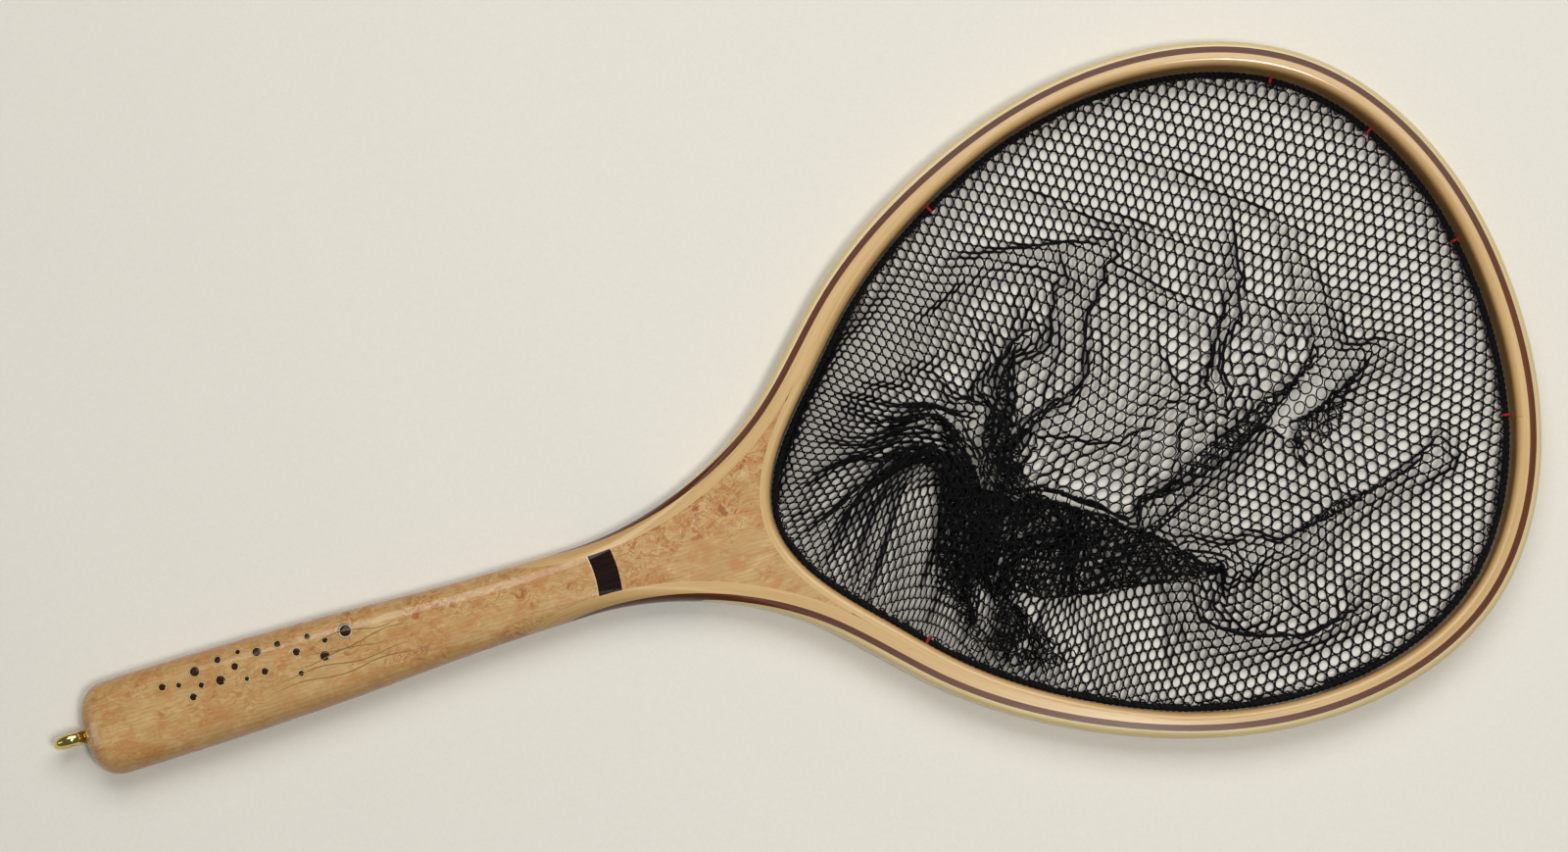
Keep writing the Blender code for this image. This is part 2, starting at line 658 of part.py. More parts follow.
def make_bag(black):
    """The net bag, fallen in on itself inside the hoop: a thick sheet with its folds, open above."""
    edge = rope_line(2 * ROPE_RADIUS + 3 * GAP + 2 * LACING_RADIUS, 15.0)
    centre = np.array([150.0, 0.0])
    rings = 11
    body = bmesh.new()
    share = np.linspace(1, 0, rings + 1)[:-1] ** 0.85
    levels = []
    for level in (0, 1):
        grid = []
        for s in share:
            points = centre + (edge - centre) * s
            if level:
                rim = smoothstep(s, 0.9, 1.0)
                z = BAG_SHEET + (BAG_EDGE_Z - BAG_SHEET) * rim + fold_height(points) * (1 - rim)
            else:
                z = np.zeros(len(points))
            grid.append([body.verts.new((p[0] * MM, p[1] * MM, h * MM)) for p, h in zip(points, z)])
        middle = BAG_SHEET + fold_height(centre[None])[0] if level else 0
        grid.append(body.verts.new((centre[0] * MM, centre[1] * MM, middle * MM)))
        levels.append(grid)
    count = len(edge)
    for grid in levels:
        for a, b in zip(grid[:-2], grid[1:-1]):
            for k in range(count):
                body.faces.new((a[k], a[(k + 1) % count], b[(k + 1) % count], b[k]))
        for k in range(count):
            body.faces.new((grid[-2][k], grid[-2][(k + 1) % count], grid[-1]))
    low, high = levels[0][0], levels[1][0]
    for k in range(count):
        body.faces.new((low[k], low[(k + 1) % count], high[(k + 1) % count], high[k]))
    bmesh.ops.recalc_face_normals(body, faces=body.faces)
    return smooth(add_object("net_bag", finish_mesh("net_bag", body), black))


def main():
    global COLLECTION
    clear_scene()
    COLLECTION = bpy.data.collections.new("landing_net")
    cutters = bpy.data.collections.new("cutters")
    for made in (COLLECTION, cutters):
        bpy.context.scene.collection.children.link(made)
    light = material("light_maple", (0.66, 0.45, 0.24), 0.3)
    figured = material("figured_maple", (0.60, 0.38, 0.19), 0.25)
    dark = material("dark_walnut", (0.13, 0.045, 0.02), 0.3)
    rosewood = material("rosewood", (0.02, 0.008, 0.006), 0.2)
    brass = material("brass", (0.70, 0.50, 0.16), 0.15, 1.0)
    silver = material("nickel_silver", (0.72, 0.70, 0.62), 0.25, 1.0)
    black = material("black_nylon", (0.012, 0.012, 0.013), 0.7)
    red = material("red_thread", (0.45, 0.01, 0.015), 0.7)
    make_rear_block(figured, cutters)
    make_accent_band(rosewood)
    make_throat_mesh(figured)
    make_strips(light, dark)
    make_inner_ply(light)
    make_eye(brass, cutters)
    make_spots(silver, rosewood)
    make_rope(black)
    make_lacing(black)
    make_markers(red)
    make_bag(black)


main()
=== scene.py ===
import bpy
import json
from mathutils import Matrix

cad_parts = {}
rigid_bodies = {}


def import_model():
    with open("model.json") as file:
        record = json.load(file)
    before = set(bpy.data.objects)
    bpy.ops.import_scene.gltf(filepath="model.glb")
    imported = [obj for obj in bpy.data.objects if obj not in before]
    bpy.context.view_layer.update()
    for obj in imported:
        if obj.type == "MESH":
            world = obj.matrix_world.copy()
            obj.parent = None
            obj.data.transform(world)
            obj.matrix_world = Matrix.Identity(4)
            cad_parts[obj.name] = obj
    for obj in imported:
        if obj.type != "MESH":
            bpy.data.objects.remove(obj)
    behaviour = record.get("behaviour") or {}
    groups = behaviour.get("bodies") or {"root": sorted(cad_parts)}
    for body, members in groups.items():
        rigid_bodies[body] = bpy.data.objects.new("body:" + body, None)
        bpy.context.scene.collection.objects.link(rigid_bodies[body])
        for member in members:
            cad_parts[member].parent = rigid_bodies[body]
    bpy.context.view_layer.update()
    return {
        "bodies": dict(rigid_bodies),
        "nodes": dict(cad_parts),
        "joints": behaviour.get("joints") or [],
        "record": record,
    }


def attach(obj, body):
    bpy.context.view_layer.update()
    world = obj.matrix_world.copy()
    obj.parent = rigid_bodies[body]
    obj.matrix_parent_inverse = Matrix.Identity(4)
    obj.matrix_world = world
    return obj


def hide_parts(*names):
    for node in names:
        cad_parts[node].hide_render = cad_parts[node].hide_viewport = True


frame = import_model()

import math

import bmesh
import bpy
import numpy as np
from mathutils import Vector
from mathutils.bvhtree import BVHTree
from mathutils.geometry import delaunay_2d_cdt

MM = 0.001

# --- the frame's measures, in millimetres, as the CAD has them ---------------
STRIP_KNOTS = [
    (-122, 21.8), (-109, 17.4), (-96, 15.4), (-72, 16.0), (-46, 21.4), (-20, 32.3),
    (0, 45.2), (40, 83.6), (100, 122.2), (193.7, 144.0), (270, 120.4), (309.2, 64), (319.6, 0),
]
GRIP_KNOTS = [(-310, 19.9), (-260, 19.9), (-225, 19.2), (-193, 18.1), (-160, 16.3), (-131, 15.2), (-96, 14.7)]
BUTT_X = -309.9
BUTT_CORNER = 15.0
BUTT_POWER = 2.6
DARK_PLY = 2.7
OUTER_PLY = 2.9
INNER_PLY = (4.5, 2.5)
CORE_PLY = (5.0, 2.6)
TAPER_X = (5.0, 130.0)
FLANK_X = 15.0
FLANK_SLOPE = 0.0446
THROAT_APEX_X = -11.8
THROAT_HANDLES = (22.0, 18.0)
THROAT_JOIN_X = 14.0
ARC_STEP = 0.5           # spacing of the points the throat block is fitted to along its arc
SCARF_Y = -52.0
HOOP_HEIGHT = 16.0
GRIP_HEIGHT = 20.0
HEIGHT_X = (-120.0, -15.0)
HOOP_ROUND = 3.0
GRIP_ROUND = 10.5
ROUND_X = (-125.0, -10.0)
MIN_WALL = 1.0
THINNEST = 0.12          # a strip or a glue face ends where less than this is left
BUTT_ROWS = (22, 22.0)   # the closer rows at the butt: how many, and over what length
GRIP_STEP = 2.2
BAND_X = (-87.4, -76.9)
BAND_SAGITTA = 0.8
BAND_VENEER = 0.45
BAND_BLEND = 30.0        # how far into the grip the band's bow fades out
EYE_RADIUS = 5.5
EYE_DEEP = 1.95          # half the section of the eye's ring, in its plane and across it
EYE_WIDE = 2.3
SHANK_RADIUS = 1.9
COLLAR_X = (0.35, 0.4, 0.7, 1.2, 1.35)       # along the axis from the butt
COLLAR_RADII = (2.6, 3.3, 3.7, 3.7, 3.3)
SEAT_DEPTH = 1.4
EYE_RISE = 0.5           # how much thicker the ring is at its root
EYE_ROOT = 2.0           # the room kept for half of the ring's section at its root
EYE_CLEAR = 0.3          # and between that and the bottom of its seat in the butt
THREAD_DEPTH = 0.3
THREAD_FROM = 3.5        # where the thread starts, from the butt
SHANK_TIP = (19.5, 21.6, 0.6)            # where the tip's taper starts and ends, and its slope
PLUG_EDGE = 0.05         # an inlay's rounded edge: how far it falls and how wide it is
PLUG_BEVEL = 0.06
PLUG_DEPTH = 1.5
RING_PROUD = 0.05        # how far the rings, the cores and the glue lines stand out of the wood
CORE_PROUD = 0.04
GLUE_PROUD = 0.02
GLUE_LINE = (0.01, 0.22, 0.6)            # its inner and outer reach past the ring, and its depth
RING_WALLS = (0.28, 0.75)                # of the small rings and the large one
LARGE_RING = 3.0         # rings with a greater radius are large
SPOTS = [
    (-271.7, 9.2, 1.8), (-264.9, 7.9, 1.4), (-257.1, 11.4, 2.3), (-260.4, 1.4, 1.8), (-255.9, 5.1, 1.5),
    (-246.8, 13.3, 1.7), (-247.7, 4.7, 2.3), (-240.5, 8.4, 1.8), (-237.9, 14.0, 1.3), (-237.0, 2.0, 1.3),
    (-230.2, 11.6, 2.1), (-229.0, 2.7, 1.8), (-221.1, 12.2, 1.7), (-214.2, 6.6, 1.9), (-214.7, -2.6, 1.5),
    (-208.3, 11.6, 1.5), (-201.5, 7.8, 1.5), (-203.3, 1.5, 2.4), (-192.4, 9.0, 3.1),
]
RIPPLES = 5
RIPPLE_X = (-230, -160)
RIPPLE_Y = -7.0
RIPPLE_STEP = 3.6
RIPPLE_SUNK = 0.06
RIPPLE_WIDTH = 0.25
MARKER_SPOTS = [(95.3, 113), (257, 122), (293, 88), (313, 30), (309, -50), (34, -72)]
ROPE_RADIUS = 1.6
ROPE_Z = 4.6
ROPE_GAP = 0.3
ROPE_STRAND = (0.72, 0.74)               # how far a strand is from the rope's middle, and its radius
ROPE_LAY = 8.0
LACING_INSET = 0.9
LACING_REACH = 1.75
LACING_PITCH = 6.2
LACING_RADIUS = 0.34
WHIPPING_REACH = 1.86
WHIPPING_RADIUS = 0.2
WHIPPING_TURNS = 3
WHIPPING_TAIL = [(0.2, 0.1, 0.2), (0.6, 0.3, 0.3), (1.1, 0.4, 0.2)]

# --- the net bag -------------------------------------------------------------
NET_MESH = np.array([6.0, 4.95])     # between the middles of neighbouring meshes: the long way and across
STRAND = 0.32            # half width of one strand; two run side by side between meshes
STRAND_RISE = 0.66       # half thickness of one strand
NET_TURN = math.radians(50.7)        # the meshes' long way
HEAP = np.array([58.0, -30.0])       # where most of the slack lies
TENT_HEIGHT = 212.0
TENT_SPREAD = 84.0
TENT_EDGE = 24.0
RIDGES = [  # along the crest, its rise at the first and last end, and its half width
    ([(172, 30), (130, 14), (90, 0)], (12, 72), 14),
    ([(240, -22), (207, -44), (170, -53), (125, -38)], (38, 62), 14),
    ([(272, -58), (241, -71), (195, -80), (115, -57)], (16, 50), 12),
    ([(272, -98), (222, -117), (158, -113), (97, -100)], (14, 30), 9),
    ([(43, 48), (37, 28), (36, 6)], (4, 26), 9),
    ([(166, 79), (147, 55), (134, 33), (102, 16)], (3, 38), 10),
    ([(217, 69), (212, 37), (190, -3)], (3, 13), 7),
    ([(249, 49), (245, 4), (234, -26)], (3, 18), 7),
    ([(276, -3), (255, -12), (238, -23)], (4, 22), 8),
    ([(282, -40), (270, -71), (248, -90), (220, -99)], (3, 13), 7),
]
CLOTH_STEP = 3.4         # spacing of the simulated sheet, in plan
CLOTH_TURN = 0.3
CLOTH_CLEAR = 0.45       # share of the spacing kept free along the rim
FLAT_GUESS = 1.15
CLOTH_FRAMES = 110
FLATTEN_ROUNDS = 40
FLATTEN_STEPS = 60
GRAVITY = (-3.0, -2.4, -9.8)
PRESS = 3.0              # how much harder gravity pulls at the end
LID_PATH = [(40, 190.0), (95, 20.0)]     # frame and height of the plate that presses the bag flat
TENSION = 40.0
COMPRESSION = 12.0
SHEAR = 4.0
BENDING = 0.05
DAMPING = 8
AIR_DAMPING = 1.5
CLOTH_MASS = 0.12
FRICTION = 2.0
LID_FRICTION = 0.5
SELF_GAP = 0.014
CONTACT = 0.008
CONTACT_INSIDE = 0.05
QUALITY = 6
SIM_SCALE = 0.01         # metres in the simulation for each millimetre
SIM_GROUND = ((-90, -250), (400, 250))
FENCE_LEVELS = (-8, 4, 16, 60, 200)
BAG_TOP = 24.0
SHEET_GAP = 1.6          # the simulated sheet keeps this far above the surface
NET_DROP = 1.05          # and its strands are laid this much lower
LOWEST = 0.12
NET_RELAXED = 0.93       # the netting's size laid out flat and slack, against pulled open
RING_CORNER = 0.20       # half angle between the two points of a rounded corner
RING_ROUND = 0.93
STRETCH_ALLOWED = (1.15, 1.45)
RIM_SHARE = 0.28         # meshes with their middle this share of a mesh outside the rim are kept
PANELS = 6
PANEL_TURN = math.radians(20)

# --- camera and light --------------------------------------------------------
CAMERA_LENS = 63.0
CAMERA_PLACE = (-0.03535, -0.1036, 1.1686)
CAMERA_TURN = (7.29, 0.0, -17.34)
KEY_LIGHT = ((0.38, 0.90, 1.50), (0.05, 0, 0), (1.8, 1.1), 20.0, (1.0, 0.99, 0.97))
FILL_LIGHT = ((0.22, -0.36, 1.55), (0.1, -0.02, 0), (0.3, 0.3), 11.0, (1.0, 0.995, 0.985))
EDGE_LIGHT = ((-1.7, 0.1, 0.8), (0, 0, 0), (0.2, 1.0), 1.5, (1.0, 0.98, 0.95))
WORLD_STRENGTH = 0.14
FLOOR_LOW = (225, 221, 211)
FLOOR_HIGH = (229, 225, 215)
FLOOR_REACH = 3

# --- wood colours ------------------------------------------------------------
WAVE_UNIT = 0.314        # the wave texture's wavelength at a scale of one, in metres
CURL_REACH = 0.016       # how far the burl's grain is bent in its clusters, and elsewhere
CALM_REACH = 0.0012
BURL_LIGHT = (209, 177, 124)
BURL_MID = (193, 158, 104)
BURL_DEEP = (178, 138, 86)
BURL_STAIN = (182, 122, 66)
BURL_CURL = (164, 98, 40)
BURL_EYE = (140, 72, 26)
# a lighter colour painted in patches over the burl: painted sheen standing in for its shimmer
BURL_PAINTED_SHEEN = (222, 190, 140)
# colours multiplied into the woods where their faces turn away from level: painted shade on the sides; the
# second, milder one is for the pale outer strip
PAINTED_SIDE_SHADE = (0.66, 0.53, 0.34)
OUTER_PAINTED_SIDE_SHADE = (0.92, 0.88, 0.74)
WOOD_COAT = 0.75         # weight and roughness of the varnish over the pale woods
COAT_ROUGHNESS = 0.14


# --- plan geometry -----------------------------------------------------------

def smoothstep(x, low, high):
    t = np.clip((np.asarray(x, float) - low) / (high - low), 0, 1)
    return t * t * (3 - 2 * t)


def cubic_spline(knots, samples):
    """Points along the natural cubic spline through the knots."""
    knots = np.asarray(knots, float)
    step = np.linalg.norm(np.diff(knots, axis=0), axis=1)
    where = np.concatenate([[0], np.cumsum(step)])
    count = len(knots)
    matrix = np.eye(count)
    right = np.zeros((count, knots.shape[1]))
    for i in range(1, count - 1):
        matrix[i, i - 1: i + 2] = step[i - 1], 2 * (step[i - 1] + step[i]), step[i]
        slopes = (knots[i + 1] - knots[i]) / step[i] - (knots[i] - knots[i - 1]) / step[i - 1]
        right[i] = 6 * slopes
    bend = np.linalg.solve(matrix, right)
    t = np.linspace(0, where[-1], samples)
    i = np.clip(np.searchsorted(where, t, side="right") - 1, 0, count - 2)
    h = step[i][:, None]
    a = (where[i + 1] - t)[:, None] / h
    b = 1 - a
    curve = a * knots[i] + b * knots[i + 1]
    return curve + ((a**3 - a) * bend[i] + (b**3 - b) * bend[i + 1]) * h * h / 6


def line_lengths(points):
    return np.concatenate([[0], np.cumsum(np.linalg.norm(np.diff(points, axis=0), axis=1))])


def resample(points, spacing):
    lengths = line_lengths(points)
    count = max(3, round(lengths[-1] / spacing) + 1)
    at = np.linspace(0, lengths[-1], count)
    return np.stack([np.interp(at, lengths, points[:, k]) for k in range(points.shape[1])], axis=1)


def left_normals(line):
    tangent = np.gradient(line, axis=0)
    tangent /= np.linalg.norm(tangent, axis=1)[:, None]
    return np.stack([-tangent[:, 1], tangent[:, 0]], axis=1)


def bezier(p0, p1, p2, p3, count):
    t = np.linspace(0, 1, count)[:, None]
    return (1 - t)**3 * p0 + 3 * (1 - t)**2 * t * p1 + 3 * (1 - t) * t * t * p2 + t**3 * p3


def mirrored(points):
    return points * np.array([1, -1])


def light_ply(thickness, x):
    """A light strip's thickness, from the first value at the throat to the second round the hoop."""
    near, far = thickness
    share = np.clip((np.asarray(x) - TAPER_X[0]) / (TAPER_X[1] - TAPER_X[0]), 0, 1)
    return near + (far - near) * share


GRIP_LINE = cubic_spline(GRIP_KNOTS, 200)


def grip_half_width(x):
    """Half the grip's width, with its rounded corners at the butt."""
    width = np.interp(x, GRIP_LINE[:, 0], GRIP_LINE[:, 1])
    corner = np.clip(1 - (np.asarray(x) - BUTT_X) / BUTT_CORNER, 0, 1)
    return width * (1 - corner**BUTT_POWER) ** (1 / BUTT_POWER)


class Plan:
    """The net seen from above, as the CAD draws it but with closer points."""

    def __init__(self, spacing):
        smooth_line = cubic_spline(STRIP_KNOTS + [(x, -y) for x, y in STRIP_KNOTS[-2::-1]], 4000)
        self.line = resample(smooth_line, spacing)
        self.outward = left_normals(self.line)
        x, y = self.line.T
        sanded = DARK_PLY / 2 + OUTER_PLY - FLANK_SLOPE * np.clip(FLANK_X - x, 0, None)
        behind = (grip_half_width(x) - np.abs(y)) * np.abs(self.outward[:, 1])
        self.edge = np.where(x < GRIP_KNOTS[-1][0], np.minimum(behind, sanded), sanded)
        for _ in range(6):
            reach_x, reach_y = self.at(self.edge).T
            over = np.where(reach_x < GRIP_KNOTS[-1][0], np.abs(reach_y) - grip_half_width(reach_x), 0)
            self.edge = self.edge - np.maximum(over, 0)
        self.core_in = -DARK_PLY / 2 - light_ply(CORE_PLY, x)
        self.throat(spacing)

    def at(self, offset):
        return self.line + self.outward * np.asarray(offset).reshape(-1, 1)

    def throat(self, spacing):
        joined = np.where(self.line[:, 0] >= THROAT_JOIN_X)[0]
        side = self.at(self.core_in)[joined[0]: joined[-1] + 1]
        ahead = side[1] - side[0]
        ahead /= np.linalg.norm(ahead)
        apex = np.array([THROAT_APEX_X, 0.0])
        arc = bezier(apex, apex + (0, THROAT_HANDLES[0]), side[0] - ahead * THROAT_HANDLES[1], side[0], 400)
        self.arc = resample(arc, spacing)
        self.inner_outside = np.concatenate([self.arc[:-1], side, mirrored(self.arc)[-2::-1]])
        self.inner_normals = left_normals(self.inner_outside)
        depth = light_ply(INNER_PLY, self.inner_outside[:, 0] - 4)[:, None]
        self.inner_inside = self.inner_outside - self.inner_normals * depth

    def outer_edge(self):
        hoop = self.at(self.edge)
        keep = hoop[:, 0] > GRIP_KNOTS[-1][0]
        side = np.linspace(0, 1, 120) ** 2
        grip_x = BUTT_X + (GRIP_KNOTS[-1][0] - BUTT_X) * side
        grip = np.stack([grip_x, grip_half_width(grip_x)], axis=1)
        return np.concatenate([grip, hoop[keep], mirrored(grip)[::-1]])


def distance_to(points, line):
    """How far each point is from a line of points."""
    start = line[:-1]
    along = line[1:] - start
    length = np.maximum((along**2).sum(1), 1e-12)
    best = np.full(len(points), np.inf)
    for i in range(len(start)):
        rel = points - start[i]
        t = np.clip(rel @ along[i] / length[i], 0, 1)
        best = np.minimum(best, np.linalg.norm(rel - t[:, None] * along[i], axis=1))
    return best


PLAN = Plan(2.0)
OUTER_EDGE = resample(PLAN.outer_edge(), 1.6)
INNER_EDGE = resample(PLAN.inner_inside, 2.0)


def wood_height(points):
    """The heights of the wood's bottom and top over points in plan, rounded towards its edges."""
    x = points[:, 0]
    height = GRIP_HEIGHT + (HOOP_HEIGHT - GRIP_HEIGHT) * smoothstep(x, *HEIGHT_X)
    radius = GRIP_ROUND + (HOOP_ROUND - GRIP_ROUND) * smoothstep(x, *ROUND_X)
    rise = np.minimum(radius, height / 2 - MIN_WALL / 2)

    def drop(distance, width, depth):
        near = np.clip(1 - distance / width, 0, 1)
        return depth * (1 - np.sqrt(1 - near * near))

    lost = drop(distance_to(points, OUTER_EDGE), radius, rise)
    lost += drop(distance_to(points, INNER_EDGE), HOOP_ROUND, HOOP_ROUND)
    return lost, height - lost


# --- mesh building -----------------------------------------------------------

def set_all(target, **values):
    for key, value in values.items():
        setattr(target, key, value)


def ring_quads(rings, sides, closed):
    """The quads between rings of points that follow one another."""
    quads = []
    for i in range(rings if closed else rings - 1):
        for k in range(sides):
            j, m = (i + 1) % rings, (k + 1) % sides
            quads.append((i * sides + k, i * sides + m, j * sides + m, j * sides + k))
    return quads


def circle(sides):
    turn = np.linspace(0, 2 * math.pi, sides, endpoint=False)
    return np.stack([np.cos(turn), np.sin(turn)], axis=1)


def in_scene(name, data):
    made = bpy.data.objects.new(name, data)
    bpy.context.scene.collection.objects.link(made)
    return made


def material_slot(made, finish):
    made.data.materials.clear()
    made.data.materials.append(finish)


def add_mesh(name, vertices, faces, finish, uv=None, sharp=None):
    """A mesh piece in millimetres, riding on the root body."""
    mesh = bpy.data.meshes.new(name)
    mesh.from_pydata([tuple(v) for v in np.asarray(vertices, float) * MM], [], faces)
    mesh.update()
    made = in_scene(name, mesh)
    body = bmesh.new()
    body.from_mesh(mesh)
    bmesh.ops.recalc_face_normals(body, faces=body.faces)
    body.to_mesh(mesh)
    body.free()
    if uv is not None:
        layer = mesh.uv_layers.new(name="grain")
        index = np.empty(len(mesh.loops), int)
        mesh.loops.foreach_get("vertex_index", index)
        layer.data.foreach_set("uv", np.asarray(uv, float)[index].ravel())
    mesh.shade_smooth()
    if sharp:
        mesh.set_sharp_from_angle(angle=math.radians(sharp))
    material_slot(made, finish)
    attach(made, "root")
    return made


def slab(name, grid, low, high, finish, uv_grid):
    """A closed body over a grid of plan points between two heights."""
    rows, columns = grid.shape[:2]
    vertices, uv = [], []
    index = np.zeros((2, rows, columns), int)
    for level, z in ((0, low), (1, high)):
        index[level] = len(vertices) + np.arange(rows * columns).reshape(rows, columns)
        vertices.extend(np.concatenate([grid, z[:, :, None]], axis=2).reshape(-1, 3))
        uv.extend(uv_grid.reshape(-1, 2) + (0, 0.003 * level))
    faces = []
    bottom, top = index
    for i in range(rows - 1):
        for j in range(columns - 1):
            faces.append((top[i, j], top[i + 1, j], top[i + 1, j + 1], top[i, j + 1]))
            faces.append((bottom[i, j], bottom[i, j + 1], bottom[i + 1, j + 1], bottom[i + 1, j]))
    rim = [(i, 0) for i in range(rows)] + [(rows - 1, j) for j in range(1, columns)]
    rim += [(i, columns - 1) for i in range(rows - 2, -1, -1)] + [(0, j) for j in range(columns - 2, 0, -1)]
    for a, b in zip(rim, rim[1:] + rim[:1]):
        faces.append((bottom[a], bottom[b], top[b], top[a]))
    return add_mesh(name, vertices, [tuple(int(k) for k in f) for f in faces], finish, uv, sharp=38)


def wood_slab(name, grid, finish, uv_grid):
    low, high = wood_height(grid.reshape(-1, 2))
    shape = grid.shape[:2]
    return slab(name, grid, low.reshape(shape), high.reshape(shape), finish, uv_grid)


def strip_grid(name, inside, outside, shares, finish):
    """One bent strip: its grid between two offsets, with a UV map along it."""
    outside = np.minimum(outside, PLAN.edge)
    thin = np.where(outside - inside <= THINNEST)[0]
    first = max(thin[thin < len(inside) // 2], default=-1) + 1
    rows = slice(first, len(inside) - first)
    share = np.asarray(shares)[None, :, None]
    near, far = PLAN.at(inside)[rows][:, None, :], PLAN.at(outside)[rows][:, None, :]
    grid = near + (far - near) * share
    along = line_lengths(PLAN.line)[rows]
    across = inside[rows][:, None] + (outside - inside)[rows][:, None] * np.asarray(shares)[None, :]
    uv = np.stack([np.repeat(along[:, None], len(shares), axis=1), across], axis=2) * MM
    return wood_slab(name, grid, finish, uv)


def rounded(count):
    """Shares of a strip's width, closer together towards its outside."""
    return np.sin(np.linspace(0, 1, count) * math.pi / 2)


def make_strips(light, dark, pale):
    half = DARK_PLY / 2
    every = np.ones(len(PLAN.line))
    core = strip_grid("core_strip", PLAN.core_in, -half * every, rounded(9), light)
    walnut = strip_grid("dark_strip", -half * every, half * every, rounded(8), dark)
    outer = strip_grid("outer_strip", half * every, 99.0 * every, rounded(9), pale)
    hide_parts("core_ply")
    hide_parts("dark_ply")
    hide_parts("outer_ply")


def make_inner_strip(light):
    outside, inside = PLAN.inner_outside, PLAN.inner_inside
    scarf = np.argmin(np.where(outside[:, 0] > 200, np.abs(outside[:, 1] - SCARF_Y), np.inf))
    order = np.roll(np.arange(len(outside)), -scarf)
    outside, inside = outside[order], inside[order]
    outside = np.concatenate([outside, outside[-1:] + (outside[:1] - outside[-1:]) * 0.95])
    inside = np.concatenate([inside, inside[-1:] + (inside[:1] - inside[-1:]) * 0.95])
    share = 1 - rounded(9)[::-1]
    grid = inside[:, None, :] + (outside - inside)[:, None, :] * share[None, :, None]
    along = line_lengths(outside)
    across = -8 + 4 * share
    uv = np.stack([np.repeat(along[:, None], 9, axis=1), np.repeat(across[None], len(along), axis=0)], axis=2)
    piece = wood_slab("inner_strip", grid, light, uv * MM)
    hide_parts("inner_ply")


def core_side():
    """The face where the core strip and the blocks are glued together, on the +Y side."""
    side = PLAN.at(PLAN.core_in)[:len(PLAN.line) // 2]
    thick = (PLAN.edge - PLAN.core_in)[:len(side)] > THINNEST
    return side[thick & (side[:, 0] < 20)]


CORE_SIDE = core_side()


def core_half_width(x):
    reach = np.interp(x, CORE_SIDE[:, 0], CORE_SIDE[:, 1], left=99.0)
    return np.minimum(reach, grip_half_width(x))


def columns_for(x, count):
    """One row of points across the blocks, closer together towards the sides."""
    share = np.sin(np.linspace(-1, 1, count) * math.pi / 2)
    return np.stack([np.full(count, x), share * core_half_width(x)], axis=1)


def bulge(count):
    """How far each point of a row is moved towards the hoop by the accent band's bow."""
    share = np.sin(np.linspace(-1, 1, count) * math.pi / 2)
    return BAND_SAGITTA * (1 - share * share)


def make_accent_band(dark, pale):
    """The dark cross piece, with a thin pale veneer along its rear face."""
    count = 31
    for name, first, last, finish in (
            ("accent_band_dark", BAND_X[0] + BAND_VENEER, BAND_X[1], dark),
            ("accent_band_veneer", BAND_X[0], BAND_X[0] + BAND_VENEER, pale)):
        rows = np.stack([columns_for(x, count) for x in np.linspace(first, last, 7)])
        rows[:, :, 0] += bulge(count)
        piece = wood_slab(name, rows, finish, rows * MM)
        if finish is dark:
            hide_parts("accent_band")


def make_grip(figured):
    count = 43
    end = BAND_X[0]
    number, length = BUTT_ROWS
    near_butt = BUTT_X + 0.02 + length * (1 - np.cos(np.linspace(0, math.pi / 2, number)))
    glued = CORE_SIDE[:, 0]
    glued = np.append(glued[glued < end - 1], end)
    steps = int((glued[0] - near_butt[-1]) / GRIP_STEP)
    along = np.concatenate([near_butt, np.linspace(near_butt[-1], glued[0] - 0.05, steps)[1:], glued])
    rows = np.stack([columns_for(x, count) for x in along])
    for row in rows:
        row[:, 0] += bulge(count) * np.clip(1 - abs(row[0, 0] - end) / BAND_BLEND, 0, 1)
    piece = wood_slab("grip_block", rows, figured, rows * MM)
    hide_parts("rear_handle_block")


def throat_grid(count):
    """Half of the flared block: rows from its middle, or the throat's arc, out to the strips.

    Also returns the first row that starts at the arc."""
    start = BAND_X[1]
    side = CORE_SIDE[CORE_SIDE[:, 0] > start + 1]
    side = np.concatenate([[[start, core_half_width(start)]], side])
    arc = resample(PLAN.arc, ARC_STEP)
    near = distance_to(side, arc)
    stop = np.where((near < 0.35) & (side[:, 0] > -15))[0]
    side = resample(side[:stop[0] + 1] if len(stop) else side, 1.6)
    last = np.argmin(np.linalg.norm(arc - side[-1], axis=1))
    axis = np.array([[start + BAND_SAGITTA, 0.0]])
    path = np.concatenate([axis, arc[:last + 1]])
    straight = arc[0, 0] - axis[0, 0]
    lengths = line_lengths(side)
    split = np.interp(arc[0, 0] - 12, side[:, 0], lengths)
    total = straight + last * ARC_STEP
    travel = np.interp(lengths, [0, split, lengths[-1]], [0, straight, total])
    along = line_lengths(path)
    travel = travel / travel[-1] * along[-1]
    corner = int(np.argmin(np.abs(travel - straight)))
    travel[corner] = straight
    inner = np.stack([np.interp(travel, along, path[:, k]) for k in (0, 1)], axis=1)
    share = np.linspace(0, 1, count)
    half = inner[:, None, :] + (side - inner)[:, None, :] * share[None, :, None]
    half[0, :, 0] = start + BAND_SAGITTA * (1 - share ** 2)
    return half, corner


